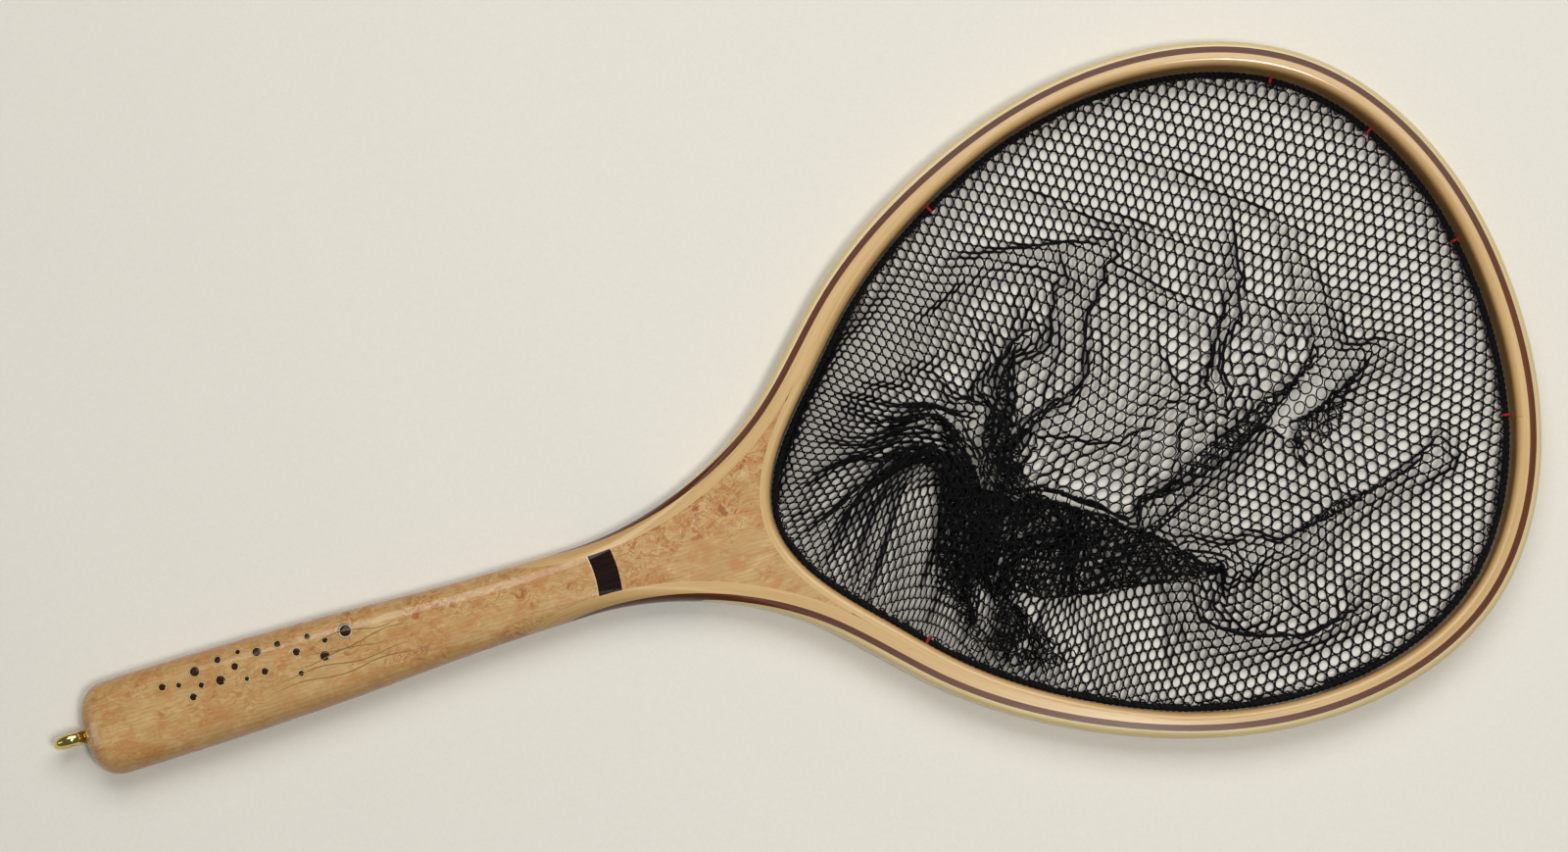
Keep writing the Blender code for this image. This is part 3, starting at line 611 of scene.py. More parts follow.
def make_throat(figured):
    """The flared block: its half grid and the mirror image of it, as one closed body."""
    half, corner = throat_grid(17)
    rows, count = half.shape[:2]
    low, high = wood_height(half.reshape(-1, 2))
    vertices, faces, uv = [], [], []
    seen = {}

    def vertex(i, j, level, sign):
        x, y = half[i, j]
        key = (i, j, level, sign if abs(y) > 1e-6 else 0)
        if key not in seen:
            seen[key] = len(vertices)
            vertices.append((x, sign * y, (low, high)[level][i * count + j]))
            uv.append((x * MM, sign * y * MM))
        return seen[key]

    for sign in (1, -1):
        quads = []
        for i in range(rows - 1):
            for j in range(count - 1):
                quads.append([(i, j, 1), (i + 1, j, 1), (i + 1, j + 1, 1), (i, j + 1, 1)])
                quads.append([(i, j, 0), (i, j + 1, 0), (i + 1, j + 1, 0), (i + 1, j, 0)])
            quads.append([(i, count - 1, 0), (i, count - 1, 1), (i + 1, count - 1, 1), (i + 1, count - 1, 0)])
            if i >= corner:
                quads.append([(i, 0, 0), (i + 1, 0, 0), (i + 1, 0, 1), (i, 0, 1)])
        for j in range(count - 1):
            quads.append([(0, j, 0), (0, j, 1), (0, j + 1, 1), (0, j + 1, 0)])
            quads.append([(rows - 1, j, 0), (rows - 1, j + 1, 0), (rows - 1, j + 1, 1), (rows - 1, j, 1)])
        for quad in quads:
            face = [vertex(*k, sign) for k in quad]
            if len(set(face)) == 4:
                faces.append(tuple(face if sign > 0 else face[::-1]))
    piece = add_mesh("throat_wedge", vertices, faces, figured, uv, sharp=38)
    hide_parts("throat_block")


# --- inlays, engraving and the eye -------------------------------------------

def surface_z(points):
    return wood_height(np.asarray(points, float).reshape(-1, 2))[1]


def plug(x, y, rings, floor_depth, proud, sides=28):
    """Vertices and faces of a plug or tube whose top follows the wood; rings are its radii."""
    inner, outer = rings
    ring = circle(sides)
    centre = np.array([x, y])
    base = surface_z([centre])[0] - floor_depth
    vertices = []

    def add(radius, sunk=0.0, at_base=False):
        points = centre + ring * radius
        z = np.full(sides, base) if at_base else surface_z(points) + proud - sunk
        vertices.append(np.concatenate([points, z[:, None]], axis=1))

    add(outer, at_base=True)
    add(outer, sunk=PLUG_EDGE)
    add(outer - PLUG_BEVEL)
    add((outer + inner) / 2)
    if inner:
        add(inner + PLUG_BEVEL)
        add(inner, sunk=PLUG_EDGE)
        add(inner, at_base=True)
        return np.concatenate(vertices), ring_quads(len(vertices), sides, True)
    top = len(vertices) * sides
    faces = ring_quads(len(vertices), sides, False)
    faces += [(top - sides + k, top - sides + (k + 1) % sides, top) for k in range(sides)]
    faces.append(tuple(range(sides))[::-1])
    return np.concatenate(vertices + [[[x, y, surface_z([centre])[0] + proud]]]), faces


def joined(parts):
    vertices, faces = [], []
    for points, quads in parts:
        start = sum(len(v) for v in vertices)
        vertices.append(points)
        faces += [tuple(k + start for k in quad) for quad in quads]
    return np.concatenate(vertices), faces


def make_spots(metal, veneer, dark, line):
    """Round inlays: a dark core in a pale ring, with a greenish glue line; the largest ring is metal."""
    rings, cores, hairlines = [], [], []
    for x, y, radius in SPOTS:
        hole = radius - RING_WALLS[radius > LARGE_RING]
        rings.append(plug(x, y, (hole, radius), PLUG_DEPTH, RING_PROUD))
        cores.append(plug(x, y, (0, hole - 0.02), PLUG_DEPTH, CORE_PROUD))
        near, far, depth = GLUE_LINE
        hairlines.append(plug(x, y, (radius + near, radius + far), depth, GLUE_PROUD))
    names = [f"spot_ring_{k:02d}" for k in range(1, len(SPOTS) + 1)]
    made = add_mesh("inlay_rings", *joined(rings[:-1]), veneer, sharp=40)
    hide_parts(*names[:-1])
    made = add_mesh("inlay_ring_large", *rings[-1], metal, sharp=40)
    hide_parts(names[-1])
    made = add_mesh("inlay_cores", *joined(cores), dark, sharp=40)
    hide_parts(*[f"spot_core_{k:02d}" for k in range(1, len(SPOTS) + 1)])
    made = add_mesh("inlay_hairlines", *joined(hairlines), line, sharp=40)


def tube(path, radius, sides, closed=False):
    """Vertices and faces of a tube along a path; radius may vary along it."""
    path = np.asarray(path, float)
    count = len(path)
    radius = np.broadcast_to(np.asarray(radius, float), (count,))
    if closed:
        tangent = np.roll(path, -1, axis=0) - np.roll(path, 1, axis=0)
    else:
        tangent = np.gradient(path, axis=0)
    tangent /= np.linalg.norm(tangent, axis=1)[:, None]
    side = np.cross([0.0, 0.0, 1.0], tangent)
    side /= np.maximum(np.linalg.norm(side, axis=1), 1e-9)[:, None]
    above = np.cross(tangent, side)
    cos, sin = circle(sides).T[:, None, :, None]
    offset = side[:, None, :] * cos + above[:, None, :] * sin
    vertices = (path[:, None, :] + offset * radius[:, None, None]).reshape(-1, 3)
    faces = ring_quads(count, sides, closed)
    if not closed:
        faces.append(tuple(range(sides))[::-1])
        faces.append(tuple((count - 1) * sides + k for k in range(sides)))
    return vertices, faces


def make_engraving(ink):
    """A plain ripple pattern: a few thin burnt lines flowing along the grip."""
    parts = []
    for k in range(RIPPLES):
        x = np.linspace(RIPPLE_X[0] + 6 * k, RIPPLE_X[1] - 4 * ((k * 2) % RIPPLES), 130)
        share = (x - x[0]) / (x[-1] - x[0])
        swing = (1.1 + 0.3 * k) * np.clip(np.sin(share * math.pi), 0, 1) ** 0.6
        y = RIPPLE_Y + RIPPLE_STEP * k + swing * np.sin(x / (6.0 + k * 0.7) + k * 1.3)
        points = np.stack([x, y], axis=1)
        z = surface_z(points) - RIPPLE_SUNK
        path = np.concatenate([points, z[:, None]], axis=1)
        width = RIPPLE_WIDTH * np.sin(np.clip(share * 0.96 + 0.02, 0, 1) * math.pi) ** 0.4
        parts.append(tube(path, width, 6))
    made = add_mesh("ripple_lines", *joined(parts), ink)


def make_eye(brass):
    """The lanyard eye: an oval-section ring, thicker at its root, on a threaded shank."""
    centre_x = BUTT_X + SEAT_DEPTH - EYE_CLEAR - EYE_RADIUS - EYE_ROOT
    around, sides = 72, 28
    turn_cos, turn_sin = circle(around).T[:, :, None]
    cos, sin = circle(sides).T[:, None, :]
    root = (0.5 + 0.5 * turn_cos) ** 2
    reach = EYE_RADIUS + EYE_DEEP * cos
    along, across = centre_x + reach * turn_cos, (EYE_WIDE + EYE_RISE * root) * sin
    vertices = np.stack([along, across, GRIP_HEIGHT / 2 + reach * turn_sin], axis=2).reshape(-1, 3)
    faces = [(a, d, c, b) for a, b, c, d in ring_quads(around, sides, True)]

    def on_axis(x):
        return np.stack([x, 0 * x, 0 * x + GRIP_HEIGHT / 2], axis=1)

    taper, end, slope = SHANK_TIP
    x = np.arange(centre_x + EYE_RADIUS - 0.5, BUTT_X + end, 0.25)
    depth = x - BUTT_X
    thread = np.where(depth > THREAD_FROM, THREAD_DEPTH * (0.5 - 0.5 * np.cos(depth * math.pi)), 0)
    radius = SHANK_RADIUS - np.maximum(depth - taper, 0) * slope - thread
    shank = tube(on_axis(x), radius, 24)
    collar = tube(on_axis(BUTT_X + np.array(COLLAR_X)), COLLAR_RADII, 32)
    made = add_mesh("brass_eye", *joined([(vertices, faces), shank, collar]), brass, sharp=45)
    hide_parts("lanyard_eye")


# --- cords -------------------------------------------------------------------

def closed_line(loop):
    return np.concatenate([loop, loop[:1]])


def rope_line(inset, spacing):
    """A closed line round the hoop, this far inside the inner strip's face."""
    return resample(closed_line(PLAN.inner_inside - PLAN.inner_normals * inset), spacing)[:-1]


def around_rope(inset, radius, pitch, phase, spacing):
    """A closed helix round the line of the head rope."""
    line = rope_line(inset, spacing)
    length = len(line) * spacing
    turns = max(1, round(length / pitch))
    angle = np.arange(len(line)) / len(line) * turns * 2 * math.pi + phase
    tangent = np.roll(line, -1, axis=0) - np.roll(line, 1, axis=0)
    tangent /= np.linalg.norm(tangent, axis=1)[:, None]
    side = np.stack([-tangent[:, 1], tangent[:, 0]], axis=1)
    xy = line + side * (radius * np.cos(angle))[:, None]
    return np.concatenate([xy, (ROPE_Z + radius * np.sin(angle))[:, None]], axis=1)


def make_rope(black):
    inset = ROPE_RADIUS + ROPE_GAP
    parts = []
    for k in range(3):
        path = around_rope(inset, ROPE_STRAND[0], ROPE_LAY, k * 2 * math.pi / 3, 1.25)
        parts.append(tube(path, ROPE_STRAND[1], 6, closed=True))
    made = add_mesh("head_rope_laid", *joined(parts), black)
    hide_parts("head_rope")


def make_lacing(black):
    path = around_rope(ROPE_RADIUS + ROPE_GAP + LACING_INSET, LACING_REACH, LACING_PITCH, 0.4, 0.62)
    made = add_mesh("lacing_spiral", *tube(path, LACING_RADIUS, 5, closed=True), black)
    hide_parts("lacing_cord")


def make_markers(red):
    line = rope_line(ROPE_RADIUS + ROPE_GAP, 0.5)
    for number, spot in enumerate(MARKER_SPOTS, 1):
        i = int(np.argmin(np.linalg.norm(line - np.array(spot), axis=1)))
        tangent = line[(i + 1) % len(line)] - line[i - 1]
        tangent /= np.linalg.norm(tangent)
        side = np.array([-tangent[1], tangent[0]])
        angle = np.linspace(0, WHIPPING_TURNS * 2 * math.pi, 60)
        along = angle / angle[-1] - 0.5
        xy = line[i] + tangent * along[:, None] + side * (WHIPPING_REACH * np.cos(angle))[:, None]
        path = np.concatenate([xy, (ROPE_Z + WHIPPING_REACH * np.sin(angle))[:, None]], axis=1)
        tail = path[-1] + np.array(WHIPPING_TAIL)
        thread = tube(np.concatenate([path, tail]), WHIPPING_RADIUS, 6)
        made = add_mesh(f"marker_whipping_{number}", *thread, red)
        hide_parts(f"marker_thread_{number}")


# --- the net bag -------------------------------------------------------------

def hex_lattice(bounds, pitch, turn):
    """Middles of the meshes over a box, on a hexagonal lattice."""
    low, high = bounds
    reach = np.linalg.norm(high - low) / 2 + pitch
    middle = (low + high) / 2
    count = int(reach / pitch) + 2
    i, j = np.meshgrid(np.arange(-count, count + 1), np.arange(-2 * count, 2 * count + 1))
    x = (i + 0.5 * (j % 2)) * pitch
    y = j * pitch * math.sqrt(3) / 2
    x, y = x.ravel(), y.ravel()
    cos, sin = math.cos(turn), math.sin(turn)
    return middle + np.stack([x * cos - y * sin, x * sin + y * cos], axis=1)


def inside_loop(points, loop):
    """Which points lie inside a closed loop."""
    x, y = points.T
    inside = np.zeros(len(points), bool)
    for a, b in zip(loop, np.roll(loop, -1, axis=0)):
        crosses = (a[1] > y) != (b[1] > y)
        with np.errstate(divide="ignore", invalid="ignore"):
            at = (b[0] - a[0]) * (y - a[1]) / (b[1] - a[1]) + a[0]
        inside ^= crosses & (x < at)
    return inside


def tent(points):
    """The bag's height over the hoop as it is let go: a tent over the heap, and ridges that fall as folds."""
    rim = rope_line(0, 6.0)
    to_rim = distance_to(points, closed_line(rim))
    from_heap = np.linalg.norm(points - HEAP, axis=1)
    height = TENT_HEIGHT * np.exp(-(from_heap / TENT_SPREAD) ** 2)
    for crest, (first, last), spread in RIDGES:
        line = cubic_spline(crest, 40)
        away = np.linalg.norm(points[:, None] - line[None], axis=2)
        share = away.argmin(1) / (len(line) - 1)
        height = height + (first + (last - first) * share) * np.exp(-(away.min(1) / spread) ** 2)
    height = height * (1 - np.exp(-(to_rim / TENT_EDGE) ** 2))
    return height


def flatten(shape, faces, guess, rounds):
    """Lays a curved sheet out flat with as little stretch as it can, from a first guess."""
    corners = np.array(faces)
    place = shape[corners]
    first, second = place[:, 1] - place[:, 0], place[:, 2] - place[:, 0]
    length = np.linalg.norm(first, axis=1)
    along = (second * first).sum(1) / length
    height = np.linalg.norm(second - first * (along / length)[:, None], axis=1)
    local = np.zeros((len(corners), 3, 2))
    local[:, 1, 0], local[:, 2, 0], local[:, 2, 1] = length, along, height
    starts, ends = corners[:, (0, 1, 2)], corners[:, (1, 2, 0)]
    edge = np.roll(local, -1, axis=1) - local
    edge_x, edge_y = edge[..., 0], edge[..., 1]
    count = len(shape)
    i, j = starts.ravel(), ends.ravel()
    degree = np.bincount(i, minlength=count) + np.bincount(j, minlength=count)

    def spread_out(at, value):
        return np.stack([np.bincount(at, value[:, k], count) for k in range(2)], axis=1)

    def laplacian(flat):
        return degree[:, None] * flat - spread_out(i, flat[j]) - spread_out(j, flat[i])

    flat = guess.copy()
    for _ in range(rounds):
        now = flat[ends] - flat[starts]
        turn = np.arctan2((edge_x * now[..., 1] - edge_y * now[..., 0]).sum(1), (edge * now).sum((1, 2)))
        cos, sin = np.cos(turn)[:, None], np.sin(turn)[:, None]
        wanted = np.stack([edge_x * cos - edge_y * sin, edge_x * sin + edge_y * cos], axis=2).reshape(-1, 2)
        residual = spread_out(j, wanted) - spread_out(i, wanted) - laplacian(flat)
        direction = residual.copy()
        size = (residual**2).sum()
        for _ in range(FLATTEN_STEPS):
            moved = laplacian(direction)
            step = size / max((direction * moved).sum(), 1e-12)
            flat += step * direction
            residual -= step * moved
            new_size = (residual**2).sum()
            direction = residual + direction * (new_size / max(size, 1e-12))
            size = new_size
    return flat


def make_sheet():
    """The bag as a tent in the hoop, the same sheet laid out flat, and its triangles."""
    rim = rope_line(2 * ROPE_RADIUS + 2 * ROPE_GAP - 0.4, CLOTH_STEP)
    inner = hex_lattice((rim.min(0), rim.max(0)), CLOTH_STEP, CLOTH_TURN)
    inner = inner[inside_loop(inner, rim)]
    inner = inner[distance_to(inner, closed_line(rim)) > CLOTH_STEP * CLOTH_CLEAR]
    plan = np.concatenate([rim, inner])
    count = len(rim)
    edges = [(k, (k + 1) % count) for k in range(count)]
    found = delaunay_2d_cdt([Vector(p) for p in plan], edges, [], 1, 1e-4)
    plan, faces = np.array([tuple(v) for v in found[0]]), [tuple(f) for f in found[2]]
    origin = [o[0] for o in found[3]]
    loop = [origin.index(k) for k in range(count)]
    height = tent(plan)
    height[loop] = 0
    start = np.concatenate([plan, ROPE_Z + height[:, None]], axis=1)
    guess = HEAP + (plan - HEAP) * FLAT_GUESS
    rest = flatten(start, faces, guess, FLATTEN_ROUNDS)
    return start, rest, loop, faces


def sim_object(name, vertices, faces):
    mesh = bpy.data.meshes.new(name)
    mesh.from_pydata([tuple(v) for v in np.asarray(vertices, float) * SIM_SCALE], [], faces)
    return in_scene(name, mesh)


def block(made, friction):
    """Makes the cloth stop at an object."""
    made.modifiers.new("block", "COLLISION")
    set_all(made.collision, thickness_outer=CONTACT, thickness_inner=CONTACT_INSIDE,
            cloth_friction=friction)
    return made


def add_obstacles():
    """The surface the net lies on, a fence along the inside of the hoop and the pressing plate."""
    low, high = SIM_GROUND
    corners = [(*low, 0), (high[0], low[1], 0), (*high, 0), (low[0], high[1], 0)]
    floor = sim_object("sim_floor", corners, [(0, 1, 2, 3)])
    line = rope_line(-0.6, 6.0)
    wall = [(x, y, z) for z in FENCE_LEVELS for x, y in line]
    fence = sim_object("sim_fence", wall, ring_quads(len(FENCE_LEVELS), len(line), False))
    lid = sim_object("sim_lid", [corners[k] for k in (0, 3, 2, 1)], [(0, 1, 2, 3)])
    for frame_number, height in LID_PATH:
        lid.location.z = height * SIM_SCALE
        lid.keyframe_insert("location", index=2, frame=frame_number)
    return [block(floor, FRICTION), block(fence, FRICTION), block(lid, LID_FRICTION)]


def simulate(start, loop, faces):
    """Lets the bag fall inside the hoop and returns where it comes to lie."""
    sheet = sim_object("sim_sheet", start, faces)
    group = sheet.vertex_groups.new(name="rim")
    group.add(loop, 1.0, "REPLACE")
    obstacles = add_obstacles()
    cloth = sheet.modifiers.new("cloth", "CLOTH")
    set_all(cloth.point_cache, frame_start=1, frame_end=CLOTH_FRAMES)
    set_all(cloth.settings, quality=QUALITY, mass=CLOTH_MASS, air_damping=AIR_DAMPING,
            tension_stiffness=TENSION, compression_stiffness=COMPRESSION, shear_stiffness=SHEAR,
            bending_stiffness=BENDING,
            tension_damping=DAMPING, compression_damping=DAMPING, shear_damping=DAMPING,
            vertex_group_mass="rim", pin_stiffness=1.0)
    set_all(cloth.collision_settings, collision_quality=3, distance_min=CONTACT, use_self_collision=True,
            self_distance_min=SELF_GAP, self_friction=FRICTION / 2)
    scene = bpy.context.scene
    for number in range(1, CLOTH_FRAMES + 1):
        press = 1 + (PRESS - 1) * float(smoothstep(number, LID_PATH[0][0], LID_PATH[1][0]))
        scene.gravity = (GRAVITY[0], GRAVITY[1], GRAVITY[2] * press)
        scene.frame_set(number)
    graph = bpy.context.evaluated_depsgraph_get()
    result = sheet.evaluated_get(graph).to_mesh()
    lain = np.empty(len(result.vertices) * 3)
    result.vertices.foreach_get("co", lain)
    scene.frame_set(1)
    for made in (sheet, *obstacles):
        bpy.data.objects.remove(made)
    return lain.reshape(-1, 3) / SIM_SCALE


def settle(start, loop, faces):
    lain = simulate(start, loop, faces)
    free = np.maximum(lain[:, 2] - SHEET_GAP, 0)
    room = BAG_TOP - SHEET_GAP
    drop = NET_DROP * np.clip(1 - free / (ROPE_Z - SHEET_GAP), 0, 1)
    lain[:, 2] = SHEET_GAP + room * (1 - np.exp(-free / room)) - drop
    rim = start[loop][:, :2]
    fine = resample(closed_line(rim), 0.5)
    for k in np.where(~inside_loop(lain[:, :2], rim))[0]:
        lain[k, :2] = fine[np.argmin(np.linalg.norm(fine - lain[k, :2], axis=1))]
    return lain


def axes_turned(angle):
    """Rows are the two plan axes turned by an angle."""
    cos, sin = math.cos(angle), math.sin(angle)
    return np.array([[cos, sin], [-sin, cos]])


NET_FRAME = axes_turned(NET_TURN)        # the netting's long way and the way across it


def ring_outline():
    """One mesh of the netting as a loop of strand, in plan: a hexagon with rounded corners."""
    points = []
    for k in range(6):
        for step in (-RING_CORNER, RING_CORNER):
            angle = k * math.pi / 3 + step
            corner = np.array([math.cos(angle), math.sin(angle)]) * NET_MESH * RING_ROUND / math.sqrt(3)
            points.append(corner * (1 - STRAND / math.cos(math.pi / 6) / np.linalg.norm(corner)))
    return np.array(points) @ NET_FRAME


def mesh_middles(rim_net):
    """The middles of the meshes that lie in the netting laid flat, or cross its rim."""
    own = (rim_net @ NET_FRAME.T) / NET_MESH
    middles = hex_lattice((own.min(0), own.max(0)), 1.0, math.pi / 6)
    middles = (middles * NET_MESH) @ NET_FRAME
    across_rim = distance_to(middles, closed_line(rim_net)) < NET_MESH[1] * RIM_SHARE
    return middles[inside_loop(middles, rim_net) | across_rim]


def unstretched(place, across, normal, outline, outward):
    """Where a mesh came out stretched, lays it there in its own size instead."""
    middle = place.mean(axis=1, keepdims=True)
    spread = np.linalg.inv(outline.T @ outline)
    slope = np.einsum("npk,pj->nkj", place - middle, outline) @ spread
    left, size, right = np.linalg.svd(slope, full_matrices=False)
    frame = left @ right
    share = smoothstep(size[:, 0], *STRETCH_ALLOWED)[:, None, None]
    upright = np.cross(frame[:, :, 0], frame[:, :, 1])[:, None, :]
    own_place = middle + np.einsum("pj,nkj->npk", outline, frame)
    own_across = np.einsum("pj,nkj->npk", outward, frame)
    pairs = ((place, own_place), (across, own_across), (normal, upright))
    return [laid + (own - laid) * share for laid, own in pairs]


def cross(first, second):
    return first[:, 0] * second[:, 1] - first[:, 1] * second[:, 0]


def carry_over(rest, lain, faces, points, directions):
    """Where points and directions on the flat netting come to lie, and the sheet's normals there."""
    tree = BVHTree.FromPolygons([(x, y, 0) for x, y in rest], faces)
    nearest = [tree.find_nearest((x, y, 0)) for x, y in points]
    points = np.array([found[0][:2] for found in nearest])
    corners = np.array(faces)[[found[2] for found in nearest]]
    a, b, c = rest[corners[:, 0]], rest[corners[:, 1]], rest[corners[:, 2]]
    ab, ac, ap = b - a, c - a, points - a
    area = cross(ab, ac)[:, None]
    pa, pb, pc = lain[corners[:, 0]], lain[corners[:, 1]], lain[corners[:, 2]]

    def carried(vector):
        """A vector on the flat netting, as it comes to lie."""
        return ((pb - pa) * cross(vector, ac)[:, None] + (pc - pa) * cross(ab, vector)[:, None]) / area

    across, normal = carried(directions), np.cross(pb - pa, pc - pa)
    for vectors in (across, normal):
        vectors /= np.maximum(np.linalg.norm(vectors, axis=1), 1e-6)[:, None]
    return pa + carried(ap), across, normal


def make_netting(black):
    """The bag: loops of strand laid side by side on the simulated sheet."""
    start, rest, loop, faces = make_sheet()
    lain = settle(start, loop, faces)
    middles = mesh_middles(rest[loop])
    outline = ring_outline()
    count, sides = len(outline), 4
    outward = outline / np.linalg.norm(outline, axis=1)[:, None]
    points = (middles[:, None, :] + outline[None]).reshape(-1, 2)
    directions = np.tile(outward, (len(middles), 1))
    place, across, normal = carry_over(rest, lain, faces, points, directions)
    shape = (len(middles), count, 3)
    place, across, normal = unstretched(place.reshape(shape), across.reshape(shape), normal.reshape(shape),
                                        outline - outline.mean(axis=0), outward)
    offsets = (across * STRAND, normal * STRAND_RISE, -across * STRAND, -normal * STRAND_RISE)
    ring = np.stack([place + o for o in offsets], axis=2).reshape(len(middles), count * sides, 3)
    ring[:, :, 2] = np.maximum(ring[:, :, 2], LOWEST)
    quads = np.array(ring_quads(count, sides, True))[:, (0, 3, 2, 1)]
    along = middles @ axes_turned(PANEL_TURN)[0]
    order = np.argsort(along, kind="stable")
    for number, chosen in enumerate(np.array_split(order, PANELS), 1):
        vertices = ring[chosen].reshape(-1, 3)
        shift = np.arange(len(chosen)) * count * sides
        loops = (quads[None] + shift[:, None, None]).reshape(-1, 4)
        panel = add_ring_mesh(f"net_panel_{number}", vertices, loops, black)
        sheet_facts(middles[chosen])
        if number == 1:
            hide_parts("net_bag")


def add_ring_mesh(name, vertices, loops, finish):
    mesh = bpy.data.meshes.new(name)
    mesh.vertices.add(len(vertices))
    mesh.vertices.foreach_set("co", (vertices * MM).ravel())
    mesh.loops.add(loops.size)
    mesh.loops.foreach_set("vertex_index", loops.ravel())
    mesh.polygons.add(len(loops))
    mesh.polygons.foreach_set("loop_start", np.arange(len(loops)) * 4)
    mesh.update(calc_edges=True)
    mesh.validate()
    made = in_scene(name, mesh)
    mesh.shade_smooth()
    material_slot(made, finish)
    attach(made, "root")
    return made


def sheet_facts(middles):
    """Works out the area one panel of the netting has when laid flat; the value is not used."""
    area = len(middles) * NET_MESH.prod() * NET_RELAXED**2 * math.sqrt(3) / 2 * MM * MM


# --- materials ---------------------------------------------------------------

def srgb(red, green, blue):
    def linear(value):
        value /= 255
        return value / 12.92 if value <= 0.04045 else ((value + 0.055) / 1.055) ** 2.4
    return tuple(linear(v) for v in (red, green, blue))


class Finish:
    """A new material and short names for the nodes the finishes are made of."""

    def __init__(self, name):
        self.made = bpy.data.materials.new(name)
        self.made.use_nodes = True
        self.tree = self.made.node_tree
        self.shader = self.tree.nodes["Principled BSDF"]
        self.source = self.node("ShaderNodeTexCoord")
        self.place = self.source.outputs["Object"]

    def put(self, socket, value):
        """Links a socket to another, or sets its value."""
        if hasattr(value, "is_linked"):
            self.tree.links.new(value, socket)
        else:
            socket.default_value = (*value, 1) if socket.type == "RGBA" else value

    def look(self, **values):
        """Sets the shader's own inputs: coat_weight is its Coat Weight, and so on."""
        for key, value in values.items():
            name = key.replace("_", " ").title().replace("Ior", "IOR")
            self.put(self.shader.inputs[name], value)

    def node(self, kind, **values):
        made = self.tree.nodes.new(kind)
        for key, value in values.items():
            if key in made.inputs:
                self.put(made.inputs[key], value)
            else:
                setattr(made, key, value)
        return made

    def maths(self, operation, first, second=0.0):
        made = self.node("ShaderNodeMath", operation=operation)
        self.put(made.inputs[0], first)
        self.put(made.inputs[1], second)
        return made.outputs[0]

    def vector_maths(self, operation, first, second):
        made = self.node("ShaderNodeVectorMath", operation=operation)
        self.put(made.inputs[0], first)
        self.put(made.inputs["Scale" if operation == "SCALE" else 1], second)
        return made.outputs[0]

    def times(self, first, second):
        return self.maths("MULTIPLY", first, second)

    def plus(self, first, second):
        return self.maths("ADD", first, second)

    def rest_of(self, value):
        return self.maths("SUBTRACT", 1.0, value)

    def scaled(self, vector, scale):
        made = self.node("ShaderNodeMapping", Scale=scale)
        self.put(made.inputs["Vector"], vector)
        return made.outputs["Vector"]

    def noise(self, vector, scale, detail, roughness=0.55, distortion=0.0):
        made = self.node("ShaderNodeTexNoise", Vector=vector, Scale=scale, Detail=detail,
                         Roughness=roughness, Distortion=distortion)
        return made.outputs["Fac"]

    def ramp(self, value, *stops):
        made = self.node("ShaderNodeValToRGB")
        elements = made.color_ramp.elements
        while len(elements) < len(stops):
            elements.new(0.5)
        for element, (at, colour) in zip(elements, stops):
            element.position = at
            element.color = (*colour, 1)
        self.put(made.inputs["Fac"], value)
        return made.outputs["Color"]

    def mask(self, value, low, high):
        return self.ramp(value, (low, (0, 0, 0)), (high, (1, 1, 1)))

    def mix(self, factor, first, second, blend="MIX"):
        made = self.node("ShaderNodeMix", data_type="RGBA", blend_type=blend)
        for index, value in ((0, factor), (6, first), (7, second)):
            self.put(made.inputs[index], value)
        return made.outputs[2]

    def bump(self, height, strength, distance):
        made = self.node("ShaderNodeBump", Strength=strength, Distance=distance, Height=height)
        self.look(normal=made.outputs["Normal"])

    def varnish(self, roughness, coat, coat_roughness):
        self.look(roughness=roughness, coat_weight=coat, coat_roughness=coat_roughness, coat_ior=1.5,
                  specular_ior_level=0.2)

    def painted_side_shade(self, colour, side):
        """Painted shade: where the wood's faces turn away from level, its colour is darkened to a deeper,
        more golden brown.
        """
        parts = self.node("ShaderNodeSeparateXYZ", Vector=self.source.outputs["Normal"])
        level = self.maths("ABSOLUTE", parts.outputs["Z"])
        amount = self.rest_of(self.mask(level, 0.25, 1.0))
        return self.mix(amount, colour, self.mix(1.0, colour, side, "MULTIPLY"))

    def thin_lines(self, vector, wavelength, distortion, detail, low, high):
        """Fine parallel lines across Y, as a mask."""
        wave = self.node("ShaderNodeTexWave", bands_direction="Y", Scale=WAVE_UNIT / wavelength,
                         Distortion=distortion, Detail=detail, Vector=vector)
        return self.mask(wave.outputs["Fac"], low, high)

    def level_lines(self, vector, scale, count, width, distortion):
        """Thin closed curls: the level lines of a soft noise, as a mask."""
        field = self.noise(vector, scale, 2.0, 0.5, distortion)
        height = self.maths("PINGPONG", self.times(field, count), 0.5)
        return self.rest_of(self.mask(height, 0.0, width))


def straight_grain(name, light, mid, deep, fleck, fleck_amount, side=PAINTED_SIDE_SHADE, coat=WOOD_COAT):
    """Varnished strip wood: grain running along the strip, on the strip's own map."""
    f = Finish(name)
    uv = f.node("ShaderNodeUVMap", uv_map="grain").outputs["UV"]
    fine = f.noise(f.scaled(uv, (14, 1400, 1)), 1.0, 6, 0.6, 0.3)
    broad = f.noise(f.scaled(uv, (9, 160, 1)), 1.0, 3, 0.5, 0.6)
    grain = f.plus(f.times(fine, 0.55), f.times(broad, 0.45))
    tone = f.ramp(grain, (0.25, srgb(*deep)), (0.5, srgb(*mid)), (0.75, srgb(*light)))
    pores = f.mask(f.noise(f.scaled(uv, (120, 3600, 1)), 1.0, 2, 0.5), 0.60, 0.72)
    flecked = f.mix(f.times(pores, fleck_amount), tone, srgb(*fleck))
    f.varnish(f.plus(f.times(fine, 0.12), 0.26), coat, COAT_ROUGHNESS)
    # the side colour is painted shade, darkening the strip's faces that turn away from level
    f.look(base_color=f.painted_side_shade(flecked, side))
    f.bump(fine, 0.12, 0.0002)
    return f.made


